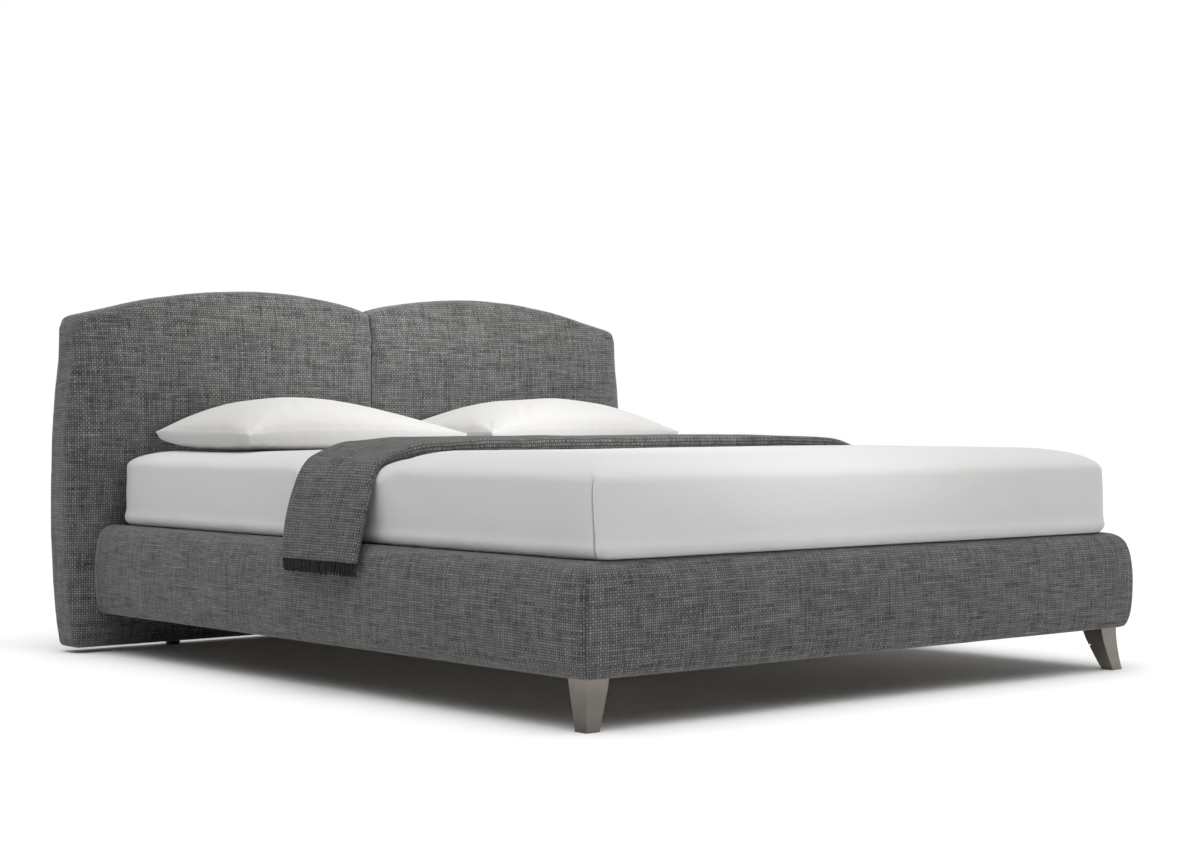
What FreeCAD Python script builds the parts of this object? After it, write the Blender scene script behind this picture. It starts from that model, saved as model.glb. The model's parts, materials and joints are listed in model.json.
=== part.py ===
import FreeCAD, Part
import os

# Upholstered double bed: two padded headboard panels, padded rails, slatted
# base, mattress, fitted sheet, two pillows and a folded throw.
# Millimetres. Origin: bottom centre of the whole bed. X runs across the bed,
# Y runs from the foot to the head, Z is up.

os.makedirs("parts", exist_ok=True)
V = FreeCAD.Vector

# ---------------------------------------------------------------- dimensions
HALF_W = 1000.0          # widest half width of the headboard
BED_BACK = 1091.0        # rearmost point, the flat joining bars
BED_H = 1005.0           # headboard apex

# headboard
HB_GAP = 1.5             # half of the gap between the two panels
HB_BOTTOM = 14.0
HB_FRONT = 971.0         # front face where the rails meet it
HB_CROWN = 953.0         # front of the crown above the mattress
HB_BACK = 1087.0         # back of the padding
HB_BOARD_T = 12.0
HB_BOARD_F = 1036.0      # front face of the plywood board
HB_INSET = 25.0          # padding round the edge of the board
COVER_T = 2.5
BAR_T = 4.0

# rails: the corner line is the lower edge, seen from outside
CL_X = 895.0
CL_Y = -1064.0
RAIL_BOT = 108.0
RAIL_TOP = 349.6
CORE_IN = 864.0          # inner face of the side boards
CORE_T = 22.0
CORE_BOT = 110.0
CORE_TOP = 336.0
RAIL_END = 970.5
HEAD_RAIL_TOP = 290.0
LIP_IN = 862.0           # inner edge of the padded top

# legs
LEG_H = 108.0
# height, outer corner beyond the corner line, side of the square
LEG_STATIONS = [(0.0, 3.0, 36.0), (20.0, -0.5, 40.5), (51.0, -4.3, 48.0),
                (79.0, -6.8, 55.0), (LEG_H, -7.5, 60.0)]

# slatted base
LEDGER_TOP = 298.0
BASE_BOT = 298.3
BASE_FRAME_TOP = 336.0
SLAT_T = 8.0
SLAT_W = 68.0
CAP_TOP = 350.0
BASE_FOOT = -1028.0
BASE_HEAD = 945.0
BASE_OUT = 861.0
N_SLATS = 14

# mattress and bedding
MAT_HALF = 850.0
MAT_FOOT = -1062.0
MAT_HEAD = 938.0
MAT_BOT = 351.6
MAT_TOP = 561.0
SHEET_T = 1.2

# throw
THROW_Y0 = -244.0
THROW_Y1 = 96.0
SWING_FOOT = -56.0       # the hanging ends swing towards the foot and narrow a little
SWING_HEAD = -90.0
THROW_END = 312.0
FRINGE_END = 277.0

MIRROR_X = (V(0, 0, 0), V(1, 0, 0))


# ------------------------------------------------------------------- helpers
def box(x0, x1, y0, y1, z0, z1):
    return Part.makeBox(x1 - x0, y1 - y0, z1 - z0, V(x0, y0, z0))


def rod(x, y, z, r, h, axis=(0, 0, 1)):
    return Part.makeCylinder(r, h, V(x, y, z), V(*axis))


def cone(x, y, z, r1, r2, h, axis=(0, 0, 1)):
    return Part.makeCone(r1, r2, h, V(x, y, z), V(*axis))


def place(plane, u, v, w):
    if plane == "XZ":
        return V(u, w, v)
    if plane == "YZ":
        return V(w, u, v)
    return V(u, v, w)


def prism(plane, segments, a, b):
    """A closed outline of straight and curved runs, pushed from a to b.
    Each run is a list of points; a run of more than two is one smooth curve."""
    edges = []
    for run in segments:
        pts = [place(plane, p[0], p[1], a) for p in run]
        if len(pts) == 2:
            edges.append(Part.LineSegment(pts[0], pts[1]).toShape())
        else:
            c = Part.BSplineCurve()
            c.interpolate(pts)
            edges.append(c.toShape())
    face = Part.Face(Part.Wire(Part.__sortEdges__(edges)))
    push = place(plane, 0, 0, b - a)
    return face.extrude(push)


def poly(plane, pts, a, b):
    w = Part.makePolygon([place(plane, p[0], p[1], a) for p in pts + [pts[0]]])
    return Part.Face(w).extrude(place(plane, 0, 0, b - a))


def mirrored(shape):
    return shape.mirror(*MIRROR_X)


def group(shapes):
    return Part.makeCompound(shapes)


def both(shape):
    return group([mirrored(shape), shape])


NODES = {}


def put(name, shape):
    NODES[name] = shape


def put_pair(name, right):
    put("right_" + name, right)
    put("left_" + name, mirrored(right))


# ------------------------------------------------------------ headboard panel
# the arched top edge and the gently bowed outer edge of the right panel
TOP = [(12, 953), (30, 961), (55, 968), (90, 976), (130, 983), (210, 994),
       (280, 1001), (400, BED_H), (500, 1001), (570, 996), (630, 988),
       (700, 978), (770, 964), (850, 945), (900, 934), (945, 924)]
OUTER = [(975, 888), (978, 800), (985, 740), (990, 690), (994, 630),
         (997, 580), (999, 500), (HALF_W, 420), (999, 300), (996, 250),
         (993, 190), (989, 140), (983, 83), (975, 34)]


def outline(y0, y1):
    inner_top = [(HB_GAP, 942), (4.5, 949), (12, 953)]
    corner = [(945, 924), (963, 915), (975, 888)]
    low = [(975, 34), (970, 20), (955, HB_BOTTOM)]
    low_in = [(HB_GAP + 12, HB_BOTTOM), (HB_GAP + 3.5, HB_BOTTOM + 3.5),
              (HB_GAP, HB_BOTTOM + 12)]
    return prism("XZ", [inner_top, TOP, corner, OUTER, low,
                        [(955, HB_BOTTOM), low_in[0]], low_in,
                        [low_in[-1], inner_top[0]]], y0, y1)


side_section = prism("YZ", [
    [(HB_BACK, 5), (1000, 5)],
    [(1000, 5), (984, 22), (974, 45), (HB_FRONT, 75)],
    [(HB_FRONT, 75), (HB_FRONT, 352)],
    [(HB_FRONT, 352), (966, 430), (957, 550), (HB_CROWN, 650), (957, 760),
     (967, 860), (986, 940), (1012, 990), (1042, 1010)],
    [(1042, 1010), (HB_BACK, 1010)],
    [(HB_BACK, 1010), (HB_BACK, 5)]], -10, 1010)
plan_section = prism("XY", [
    [(-5, HB_BACK), (-5, 1020)],
    [(-5, 1020), (5, 990), (26, 964), (60, 945)],
    [(60, 945), (926, 945)],
    [(926, 945), (958, 962), (985, 992), (1001, 1032)],
    [(1001, 1032), (1001, HB_BACK)],
    [(1001, HB_BACK), (-5, HB_BACK)]], 0, 1012)

padding = outline(940, HB_BACK).common(side_section).common(plan_section)


def core_outline(y0, y1):
    d = HB_INSET
    top = [(HB_GAP + d, 930)] + [(x, z - d) for x, z in TOP[3:-1]] + [(930, 902)]
    outer = [(x - d, z) for x, z in OUTER[1:-1]] + [(952, 46)]
    return prism("XZ", [top, [top[-1], outer[0]], outer,
                        [outer[-1], (HB_GAP + d, 46)],
                        [(HB_GAP + d, 46), top[0]]], y0, y1)


board = core_outline(HB_BOARD_F, HB_BOARD_F + HB_BOARD_T)
batten_space = core_outline(HB_BOARD_F + HB_BOARD_T, HB_BACK)
pocket = core_outline(HB_BOARD_F, HB_BACK + 20)

B0, B1 = HB_BOARD_F + HB_BOARD_T, HB_BACK
battens = []
stiles = [(HB_GAP + HB_INSET, 86), (470, 530), (890, 968)]
for x0, x1 in stiles:
    battens.append(batten_space.common(box(x0, x1, B0, B1, 0, 1100)))
for x0, x1 in [(86, 470), (530, 890)]:
    battens.append(batten_space.common(box(x0, x1, B0, B1, 0, 116)))
    battens.append(batten_space.common(box(x0, x1, B0, B1, 480, 540)))
    battens.append(batten_space.common(box(x0, x1, B0, B1, 870, 1100)))

# joining bars lie across the two panels, let into the back covers
BAR_Z = [150.0, 510.0, 860.0]
BAR_HALF = 78.0
BAR_W = 40.0
bars, bar_bolts = [], []
bar_cuts = []
for z in BAR_Z:
    bar = box(-BAR_HALF, BAR_HALF, HB_BACK, HB_BACK + BAR_T, z - BAR_W / 2, z + BAR_W / 2)
    for x in (-62, -40, 40, 62):
        head = cone(x, HB_BACK, z, 4, 8, BAR_T, (0, 1, 0))
        shank = rod(x, HB_BACK - 30, z, 4, 30, (0, 1, 0))
        bolt = head.fuse(shank)
        bar = bar.cut(head)
        bar_bolts.append(bolt)
        if x > 0:
            battens = [b.cut(shank) for b in battens]
    bars.append(bar)
    bar_cuts.append(box(-1, BAR_HALF + 1, HB_BACK - 1, HB_BACK + 10,
                        z - BAR_W / 2 - 1, z + BAR_W / 2 + 1))

# hardwood blocks carry the bolts from the frame through the padding
BLOCK_X = [300.0, 760.0]
BLOCK_Z0, BLOCK_Z1 = 140.0, 250.0
BOLT_Z = 195.0
blocks, frame_bolts, inserts = [], [], []
for x in BLOCK_X:
    blk = box(x - 35, x + 35, RAIL_END, HB_BOARD_F, BLOCK_Z0, BLOCK_Z1)
    ins = rod(x, RAIL_END + 8, BOLT_Z, 8, 28, (0, 1, 0))
    hole = rod(x, RAIL_END, BOLT_Z, 5.5, 60, (0, 1, 0))
    blk = blk.cut(ins).cut(hole)
    bolt = rod(x, 942, BOLT_Z, 9, 6.5, (0, 1, 0)).fuse(
        rod(x, 942, BOLT_Z, 5, RAIL_END + 34 - 942, (0, 1, 0)))
    ins = ins.cut(rod(x, RAIL_END, BOLT_Z, 5, 60, (0, 1, 0)))
    padding = padding.cut(box(x - 35, x + 35, 940, HB_BOARD_F + 1, BLOCK_Z0, BLOCK_Z1))
    blocks.append(blk)
    frame_bolts.append(bolt)
    inserts.append(ins)

# levelling glides under each panel
GLIDE_X = [200.0, 632.0]
GLIDE_Y = 1060.0
PAD_R, PAD_H = 20.0, 10.0
glide_inserts = []
padding = padding.cut(pocket)
for x in GLIDE_X:
    padding = padding.cut(rod(x, GLIDE_Y, 0, 6, 60))
    sleeve = rod(x, GLIDE_Y, 46, 6, 34)
    battens = [b.cut(sleeve) for b in battens]
    glide_inserts.append(sleeve.cut(rod(x, GLIDE_Y, 40, 4.2, 50)))


def glide(x, y, pad_r, pad_h, stem_top):
    pad = rod(x, y, 0, pad_r, pad_h).fuse(cone(x, y, pad_h, 9, 6.5, 3.0))
    pad = pad.makeFillet(1.5, [e for e in pad.Edges
                               if e.BoundBox.ZMax < 0.01])
    return pad.fuse(rod(x, y, pad_h, 4, stem_top - pad_h))


for c in bar_cuts:
    padding = padding.cut(c)
cover = outline(HB_BACK, HB_BACK + COVER_T).common(
    prism("XZ", [[(8, 24), (962, 24)], [(962, 24), (990, 420)], [(990, 420), (966, 890)],
                 [(966, 890), (850, 935), (700, 967), (560, 986), (400, 994), (250, 987),
                  (120, 970), (8, 940)],
                 [(8, 940), (8, 24)]], HB_BACK, HB_BACK + COVER_T))
for c in bar_cuts:
    cover = cover.cut(c)

put_pair("headboard_upholstery", padding)
put_pair("headboard_board", board)
put_pair("headboard_battens", group([b for b in battens if b.Volume > 1]))
put_pair("headboard_back_cover", cover)
put("headboard_joining_bars", group(bars))
put("joining_bar_bolts", group(bar_bolts))
put("headboard_mount_blocks", both(group(blocks)))
put("headboard_bolts", both(group(frame_bolts)))
put("bolt_inserts", both(group(inserts)))
put("glide_inserts", both(group(glide_inserts)))
put_pair("inner_glide", glide(GLIDE_X[0], GLIDE_Y, PAD_R, PAD_H, 66))
put_pair("outer_glide", glide(GLIDE_X[1], GLIDE_Y, PAD_R, PAD_H, 66))

# ----------------------------------------------------------------------- rails
# padded section: distance outside the corner line, height
BULGE = [(-26, RAIL_TOP), (-11, 347), (1, 341), (12, 329), (18, 314), (22, 297),
         (25, 274), (27, 241), (27, 209), (25, 165), (22, 141), (18, 124),
         (12, 112), (3, RAIL_BOT)]
core_out = CORE_IN + CORE_T - CL_X         # outer face of the board, as b
core_in = CORE_IN - CL_X
lip_in = LIP_IN - CL_X
C_SECTION = [BULGE,
             [(3, RAIL_BOT), (core_in, RAIL_BOT)],
             [(core_in, RAIL_BOT), (core_in, CORE_BOT)],
             [(core_in, CORE_BOT), (core_out, CORE_BOT)],
             [(core_out, CORE_BOT), (core_out, CORE_TOP)],
             [(core_out, CORE_TOP), (lip_in, CORE_TOP)],
             [(lip_in, CORE_TOP), (lip_in, RAIL_TOP)],
             [(lip_in, RAIL_TOP), (-26, RAIL_TOP)]]


def shifted(segments, f):
    return [[f(p) for p in run] for run in segments]


side_pad = prism("XZ", shifted(C_SECTION, lambda p: (CL_X + p[0], p[1])),
                 CL_Y - 40, RAIL_END - 1)
foot_pad = prism("YZ", shifted(C_SECTION, lambda p: (CL_Y - p[0], p[1])),
                 -(CL_X + 40), CL_X + 40)
# the mitre runs through the corner line at 45 degrees in plan
reach = 400.0
side_keep = poly("XY", [(CL_X - reach, CL_Y + reach), (CL_X + reach, CL_Y - reach),
                        (CL_X + reach, 2000), (CL_X - reach, 2000)], 0, 500)
side_pad = side_pad.common(side_keep)
foot_keep = poly("XY", [(CL_X + reach, CL_Y - reach), (CL_X - reach, CL_Y + reach),
                        (-CL_X + reach, CL_Y + reach), (-CL_X - reach, CL_Y - reach)], 0, 500)
foot_pad = foot_pad.common(foot_keep)

FOOT_OUT = CL_Y - core_out                 # outer face of the foot board
FOOT_IN = CL_Y - core_in
side_core = box(CORE_IN, CORE_IN + CORE_T, FOOT_OUT, RAIL_END, CORE_BOT, CORE_TOP)
foot_core = box(-CORE_IN, CORE_IN, FOOT_OUT, FOOT_IN, CORE_BOT, CORE_TOP)
head_core = box(-CORE_IN, CORE_IN, RAIL_END - CORE_T, RAIL_END, CORE_BOT, HEAD_RAIL_TOP)
for x in BLOCK_X:
    for s in (-1, 1):
        head_core = head_core.cut(rod(s * x, 940, BOLT_Z, 5.5, 40, (0, 1, 0)))

# steel corner brackets and their screws, mirrored to all four corners
BR_T, BR_LEG, BR_Z0, BR_Z1 = 3.0, 60.0, 200.0, 290.0
HEAD_IN = RAIL_END - CORE_T
brackets, bracket_screws = [], []
screw_x, screw_y = [], []
for corner_y, d in ((FOOT_IN, 1), (HEAD_IN, -1)):
    ya, yb = sorted((corner_y, corner_y + d * BR_LEG))
    a = box(CORE_IN - BR_T, CORE_IN, ya, yb, BR_Z0, BR_Z1)
    yc, yd = sorted((corner_y, corner_y + d * BR_T))
    b = box(CORE_IN - BR_LEG, CORE_IN, yc, yd, BR_Z0, BR_Z1)
    br = a.fuse(b).removeSplitter()
    for z in (218.0, 272.0):
        y = corner_y + d * 42
        s1 = rod(CORE_IN - BR_T - 2.5, y, z, 5, 2.5, (1, 0, 0)).fuse(
            rod(CORE_IN - BR_T - 2.5, y, z, 2.5, 20, (1, 0, 0)))
        s2 = rod(CORE_IN - 42, corner_y + d * (BR_T + 2.5), z, 5, 2.5, (0, -d, 0)).fuse(
            rod(CORE_IN - 42, corner_y + d * (BR_T + 2.5), z, 2.5, 20, (0, -d, 0)))
        for s in (s1, s2):
            br = br.cut(s)
            bracket_screws.append(s)
        side_core = side_core.cut(s1)
        s2m = mirrored(s2)
        if d > 0:
            foot_core = foot_core.cut(s2).cut(s2m)
        else:
            head_core = head_core.cut(s2).cut(s2m)
    brackets.append(br)

# hardwood corner blocks carry the legs
CB = 70.0
block = box(CORE_IN - CB, CORE_IN, FOOT_IN, FOOT_IN + CB, RAIL_BOT, 195)
LEG_BX, LEG_BY = CORE_IN - 21, FOOT_IN + 21
block = block.cut(rod(LEG_BX, LEG_BY, 100, 5.5, 110))

wires = []
for z, o, s in LEG_STATIONS:
    xo, yo = CL_X + o, CL_Y - o
    wires.append(Part.makePolygon([V(xo, yo, z), V(xo - s, yo, z), V(xo - s, yo + s, z),
                                   V(xo, yo + s, z), V(xo, yo, z)]))
leg = Part.makeLoft(wires, True, False)
leg = leg.cut(rod(LEG_BX, LEG_BY, 60, 5.0, 60))
leg_bolt = rod(LEG_BX, LEG_BY, 64, 5.0, 133).fuse(rod(LEG_BX, LEG_BY, 197, 9.0, 7))
leg_washer = rod(LEG_BX, LEG_BY, 195, 14, 2).cut(rod(LEG_BX, LEG_BY, 194, 5.0, 4))

# steel ledgers under the slatted base
LG_T, LG_W = 3.0, 30.0
ledger = box(CORE_IN - LG_W, CORE_IN, -960, 880, LEDGER_TOP - LG_T, LEDGER_TOP).fuse(
    box(CORE_IN - LG_T, CORE_IN, -960, 880, LEDGER_TOP - 33, LEDGER_TOP)).removeSplitter()
ledger_screws = []
for i in range(7):
    y = -920 + i * 290.0
    s = rod(CORE_IN - LG_T - 2.5, y, 277, 5, 2.5, (1, 0, 0)).fuse(
        rod(CORE_IN - LG_T - 2.5, y, 277, 2.5, 20, (1, 0, 0)))
    ledger = ledger.cut(s)
    side_core = side_core.cut(s)
    ledger_screws.append(s)

# centre beam on two brackets and two legs
BEAM_Z0 = 258.0
beam = box(-25, 25, FOOT_IN + 3.5, HEAD_IN - 3.5, BEAM_Z0, LEDGER_TOP).cut(
    box(-23, 23, FOOT_IN, HEAD_IN, BEAM_Z0 + 2, LEDGER_TOP - 2))
beam_brackets, beam_bolts = [], []
for y, d in ((FOOT_IN, 1), (HEAD_IN, -1)):
    ya, yb = sorted((y, y + d * 3))
    yc, yd = sorted((y, y + d * 45))
    z0 = 225.0
    br = box(-45, 45, ya, yb, z0, 288).cut(box(-26, 26, ya - 1, yb + 1, BEAM_Z0, 300))
    br = br.fuse(box(-30, 30, yc, yd, BEAM_Z0 - 3, BEAM_Z0)).removeSplitter()
    for x in (-36, 36):
        s = rod(x, y + d * 5.5, 275, 5, 2.5, (0, -d, 0)).fuse(
            rod(x, y + d * 5.5, 275, 2.5, 20, (0, -d, 0)))
        br = br.cut(s)
        beam_bolts.append(s)
        if d > 0:
            foot_core = foot_core.cut(s)
        else:
            head_core = head_core.cut(s)
    beam_brackets.append(br)

CLEG_Y = [-250.0, 450.0]


# the plates of the centre legs are screwed to the beam from below
for y in CLEG_Y:
    for sy in (-28, 28):
        s = rod(0, y + sy, BEAM_Z0 - 7, 5, 3).fuse(rod(0, y + sy, BEAM_Z0 - 7, 2.5, 11))
        beam_bolts.append(s)
        beam = beam.cut(s)


def centre_leg_plate_holes(body, y):
    for sy in (-28, 28):
        body = body.cut(rod(0, y + sy, BEAM_Z0 - 7, 2.5, 11))
        body = body.cut(rod(0, y + sy, BEAM_Z0 - 8, 5, 4))
    return body


def centre_leg(y):
    plate = box(-25, 25, y - 38, y + 38, BEAM_Z0 - 4, BEAM_Z0)
    tube = rod(0, y, 20, 19, BEAM_Z0 - 24).cut(rod(0, y, 32, 17, BEAM_Z0 - 36))
    body = plate.fuse(tube).cut(rod(0, y, 10, 4.2, 30)).removeSplitter()
    return centre_leg_plate_holes(body, y)


put_pair("side_rail_core", side_core)
put("foot_rail_core", foot_core)
put("head_rail_core", head_core)
put_pair("side_rail_upholstery", side_pad)
put("foot_rail_upholstery", foot_pad)
put("corner_brackets", both(group(brackets)))
put("corner_bracket_screws", both(group(bracket_screws)))
put("corner_blocks", both(block))
put("front_right_leg", leg)
put("front_left_leg", mirrored(leg))
put("leg_bolts", both(group([leg_bolt, leg_washer])))
put_pair("ledger", ledger)
put("ledger_screws", both(group(ledger_screws)))
put("centre_beam", beam)
put("centre_beam_brackets", group(beam_brackets))
put("centre_beam_screws", group(beam_bolts))
put("front_centre_leg", centre_leg(CLEG_Y[0]))
put("rear_centre_leg", centre_leg(CLEG_Y[1]))
put("front_centre_glide", glide(0, CLEG_Y[0], 22.0, 10.0, 44))
put("rear_centre_glide", glide(0, CLEG_Y[1], 22.0, 10.0, 44))

# ---------------------------------------------------------------- slatted base
side = box(BASE_OUT - 25, BASE_OUT, BASE_FOOT, BASE_HEAD, BASE_BOT, BASE_FRAME_TOP)
ends = [box(-(BASE_OUT - 25), BASE_OUT - 25, BASE_FOOT, BASE_FOOT + 25, BASE_BOT, BASE_FRAME_TOP),
        box(-(BASE_OUT - 25), BASE_OUT - 25, BASE_HEAD - 25, BASE_HEAD, BASE_BOT, BASE_FRAME_TOP)]
centre = box(-25, 25, BASE_FOOT + 25, BASE_HEAD - 25, BASE_BOT, BASE_FRAME_TOP)
frame_screws = []
for ye in (BASE_FOOT + 12.5, BASE_HEAD - 12.5):
    for z in (308.0, 326.0):
        s = rod(BASE_OUT - 60, ye, z, 3, 60, (1, 0, 0))
        frame_screws.append(s)
        side = side.cut(s)
        ends = [e.cut(s).cut(mirrored(s)) for e in ends]

slats, outer_caps, centre_caps = [], [], []
SLAT_Z0 = BASE_FRAME_TOP + 4
pitch = (BASE_HEAD - BASE_FOOT - 130.0) / (N_SLATS - 1)
for i in range(N_SLATS):
    y = BASE_FOOT + 65.0 + pitch * i
    sl = box(12, 846, y - SLAT_W / 2, y + SLAT_W / 2, SLAT_Z0, SLAT_Z0 + SLAT_T)
    slats.append(sl)
    oc = box(BASE_OUT - 51, BASE_OUT - 3, y - SLAT_W / 2 - 6, y + SLAT_W / 2 + 6,
             BASE_FRAME_TOP, CAP_TOP)
    outer_caps.append(oc.cut(box(BASE_OUT - 60, 846, y - SLAT_W / 2, y + SLAT_W / 2,
                                 SLAT_Z0, SLAT_Z0 + SLAT_T)))
    cc = box(-42, 42, y - SLAT_W / 2 - 6, y + SLAT_W / 2 + 6, BASE_FRAME_TOP, CAP_TOP)
    for s in (-1, 1):
        xa, xb = sorted((s * 12, s * 60))
        cc = cc.cut(box(xa, xb, y - SLAT_W / 2, y + SLAT_W / 2, SLAT_Z0, SLAT_Z0 + SLAT_T))
    centre_caps.append(cc)

put_pair("slat_frame_rail", side)
put("foot_slat_frame_rail", ends[0])
put("head_slat_frame_rail", ends[1])
put("centre_slat_frame_rail", centre)
put("slat_frame_screws", both(group(frame_screws)))
put_pair("slats", group(slats))
put("outer_slat_caps", both(group(outer_caps)))
put("centre_slat_caps", group(centre_caps))

# -------------------------------------------------------- mattress and bedding
# edge of the mattress: distance inside the nominal side, height
EDGE = [(0, 356), (-4, 361), (-9, 384), (-11, 417), (-8, 458), (-5, 490),
        (0, 508), (9, 522), (25, 532), (51, 543), (87, 551.5), (135, 557.5), (200, MAT_TOP)]


def mattress_solid(d):
    """The mattress grown by d on the top and the sides."""
    def run(sign, at, z_off):
        pts = [(at + sign * (-e + d), z + (d if z > 500 else 0)) for e, z in EDGE]
        pts[0] = (at + sign * d * 1.0, EDGE[0][1])
        return pts
    bot = MAT_BOT - d
    right = run(1, MAT_HALF, 0)
    left = [(-x, z) for x, z in right][::-1]
    xz = prism("XZ", [right, [right[-1], left[0]], left,
                      [left[-1], (left[-1][0] + 4, bot)],
                      [(left[-1][0] + 4, bot), (right[0][0] - 4, bot)],
                      [(right[0][0] - 4, bot), right[0]]], -1200, 1200)
    head = run(1, MAT_HEAD, 0)
    foot = run(-1, MAT_FOOT, 0)[::-1]
    yz = prism("YZ", [head, [head[-1], foot[0]], foot,
                      [foot[-1], (foot[-1][0] + 4, bot)],
                      [(foot[-1][0] + 4, bot), (head[0][0] - 4, bot)],
                      [(head[0][0] - 4, bot), head[0]]], -1200, 1200)
    return xz.common(yz)


mattress = mattress_solid(0.0)
sheet = mattress_solid(SHEET_T).cut(mattress)
sheet = sheet.cut(box(-MAT_HALF + 110, MAT_HALF - 110, MAT_FOOT + 110, MAT_HEAD - 110,
                      MAT_BOT - 10, MAT_BOT + 0.01))
put("mattress", mattress)
put("fitted_sheet", sheet)


def pillow(cx, cy, w, l, z0, zs, z1):
    """A closed cushion form: flat below, a seam level, a crown above."""
    rows = [(z0, 0.80, 0.74), (z0 + 8, 0.93, 0.90), (zs, 1.0, 1.0), (zs + 22, 0.955, 0.94),
            (z0 + (z1 - z0) * 0.62, 0.86, 0.80), (z0 + (z1 - z0) * 0.86, 0.64, 0.56), (z1, 0.34, 0.28)]
    ws = []
    for z, a, b in rows:
        hx, hy = w / 2 * a, l / 2 * b
        c = min(hx, hy) * 0.22
        pts = [(hx, -hy + c), (hx, hy - c), (hx - c, hy), (-hx + c, hy), (-hx, hy - c),
               (-hx, -hy + c), (-hx + c, -hy), (hx - c, -hy)]
        v = [V(cx + x, cy + y, z) for x, y in pts]
        ws.append(Part.makePolygon(v + [v[0]]))
    return Part.makeLoft(ws, True, True)


PILLOW_Z0 = MAT_TOP + SHEET_T + 0.4
put("left_pillow", pillow(-427.5, 655, 705, 470, PILLOW_Z0, 598, 700))
put("right_pillow", pillow(370.5, 655, 705, 470, PILLOW_Z0, 598, 700))

# the throw: inner and outer line of the folded stack, left half mirrored
INNER = [(926, THROW_END), (921, 330), (911, 345), (898, 353), (881, 359), (868, 378),
         (866, 420), (864, 470), (859, 496), (854, 511), (843, 525.5), (826, 536),
         (799, 547), (763, 556), (715, 562), (618, 565), (500, 565.5)]
OUTSIDE = [(950, THROW_END), (946, 350), (934, 400), (917, 470), (903, 522), (885, 556),
           (855, 579), (800, 589), (715, 595), (618, 597), (500, 597)]


def throw_half():
    top = poly("XZ", [p for p in INNER if p[0] < 860] + [(0, 565.5), (0, 597)]
               + [p for p in OUTSIDE[::-1] if p[0] < 860] + [(855, 560), (859, 511)],
               THROW_Y0, THROW_Y1)
    hang = poly("XZ", INNER[:11] + [(826, 549), (840, 581), (855, 579)]
                + OUTSIDE[:6][::-1], -400, 200)
    slant = poly("YZ", [(THROW_Y0, 590), (THROW_Y1, 590),
                        (THROW_Y1 + SWING_HEAD, THROW_END),
                        (THROW_Y0 + SWING_FOOT, THROW_END)], 800, 1000)
    return top, hang.common(slant)


top_r, hang_r = throw_half()
top_l, hang_l = mirrored(top_r), mirrored(hang_r)
throw = top_r.fuse([top_l, hang_r, hang_l]).removeSplitter()
put("throw", throw)
fr = poly("YZ", [(THROW_Y0 + SWING_FOOT + 2, THROW_END), (THROW_Y1 + SWING_HEAD - 2, THROW_END),
                 (THROW_Y1 + SWING_HEAD - 8, FRINGE_END), (THROW_Y0 + SWING_FOOT - 6, FRINGE_END)],
          930, 946)
put_pair("throw_fringe", fr)

# ---------------------------------------------------------------------- export
for name, shape in NODES.items():
    shape.exportStep("parts/%s.step" % name)
print(len(NODES), "nodes")
for name, shape in NODES.items():
    bb = shape.BoundBox
    print("%-28s %s %2d solids vol %9.1f cm3  X %.1f..%.1f Y %.1f..%.1f Z %.1f..%.1f" % (
        name, "ok " if shape.isValid() else "BAD", len(shape.Solids), shape.Volume / 1000,
        bb.XMin, bb.XMax, bb.YMin, bb.YMax, bb.ZMin, bb.ZMax))
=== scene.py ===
import json
import math

import bpy
import bmesh
import numpy as np
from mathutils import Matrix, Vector


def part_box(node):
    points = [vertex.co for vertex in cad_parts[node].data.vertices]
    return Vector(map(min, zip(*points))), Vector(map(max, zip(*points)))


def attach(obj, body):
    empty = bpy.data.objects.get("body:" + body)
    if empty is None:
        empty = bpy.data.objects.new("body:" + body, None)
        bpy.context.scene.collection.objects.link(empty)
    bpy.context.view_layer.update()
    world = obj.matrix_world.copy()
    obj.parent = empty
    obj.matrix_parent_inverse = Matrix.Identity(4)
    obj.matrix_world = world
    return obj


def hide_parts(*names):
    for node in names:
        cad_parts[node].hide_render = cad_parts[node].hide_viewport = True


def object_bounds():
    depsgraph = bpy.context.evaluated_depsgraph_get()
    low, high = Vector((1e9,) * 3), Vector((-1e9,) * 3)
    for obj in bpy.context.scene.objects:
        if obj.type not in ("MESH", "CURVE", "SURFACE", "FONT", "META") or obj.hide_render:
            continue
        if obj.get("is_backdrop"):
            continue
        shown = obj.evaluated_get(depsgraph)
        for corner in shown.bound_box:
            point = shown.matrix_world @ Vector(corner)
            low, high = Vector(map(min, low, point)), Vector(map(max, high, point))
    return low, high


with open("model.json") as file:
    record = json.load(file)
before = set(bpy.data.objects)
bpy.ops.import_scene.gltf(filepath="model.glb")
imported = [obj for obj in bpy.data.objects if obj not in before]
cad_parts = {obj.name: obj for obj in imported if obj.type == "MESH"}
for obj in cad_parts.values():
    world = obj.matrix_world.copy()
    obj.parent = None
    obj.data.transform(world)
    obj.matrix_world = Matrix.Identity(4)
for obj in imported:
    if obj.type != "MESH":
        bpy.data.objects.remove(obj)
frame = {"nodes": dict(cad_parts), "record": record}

SC = bpy.context.scene
SC.view_settings.view_transform = "Standard"
RNG = np.random.default_rng(7)
first_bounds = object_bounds()


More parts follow.
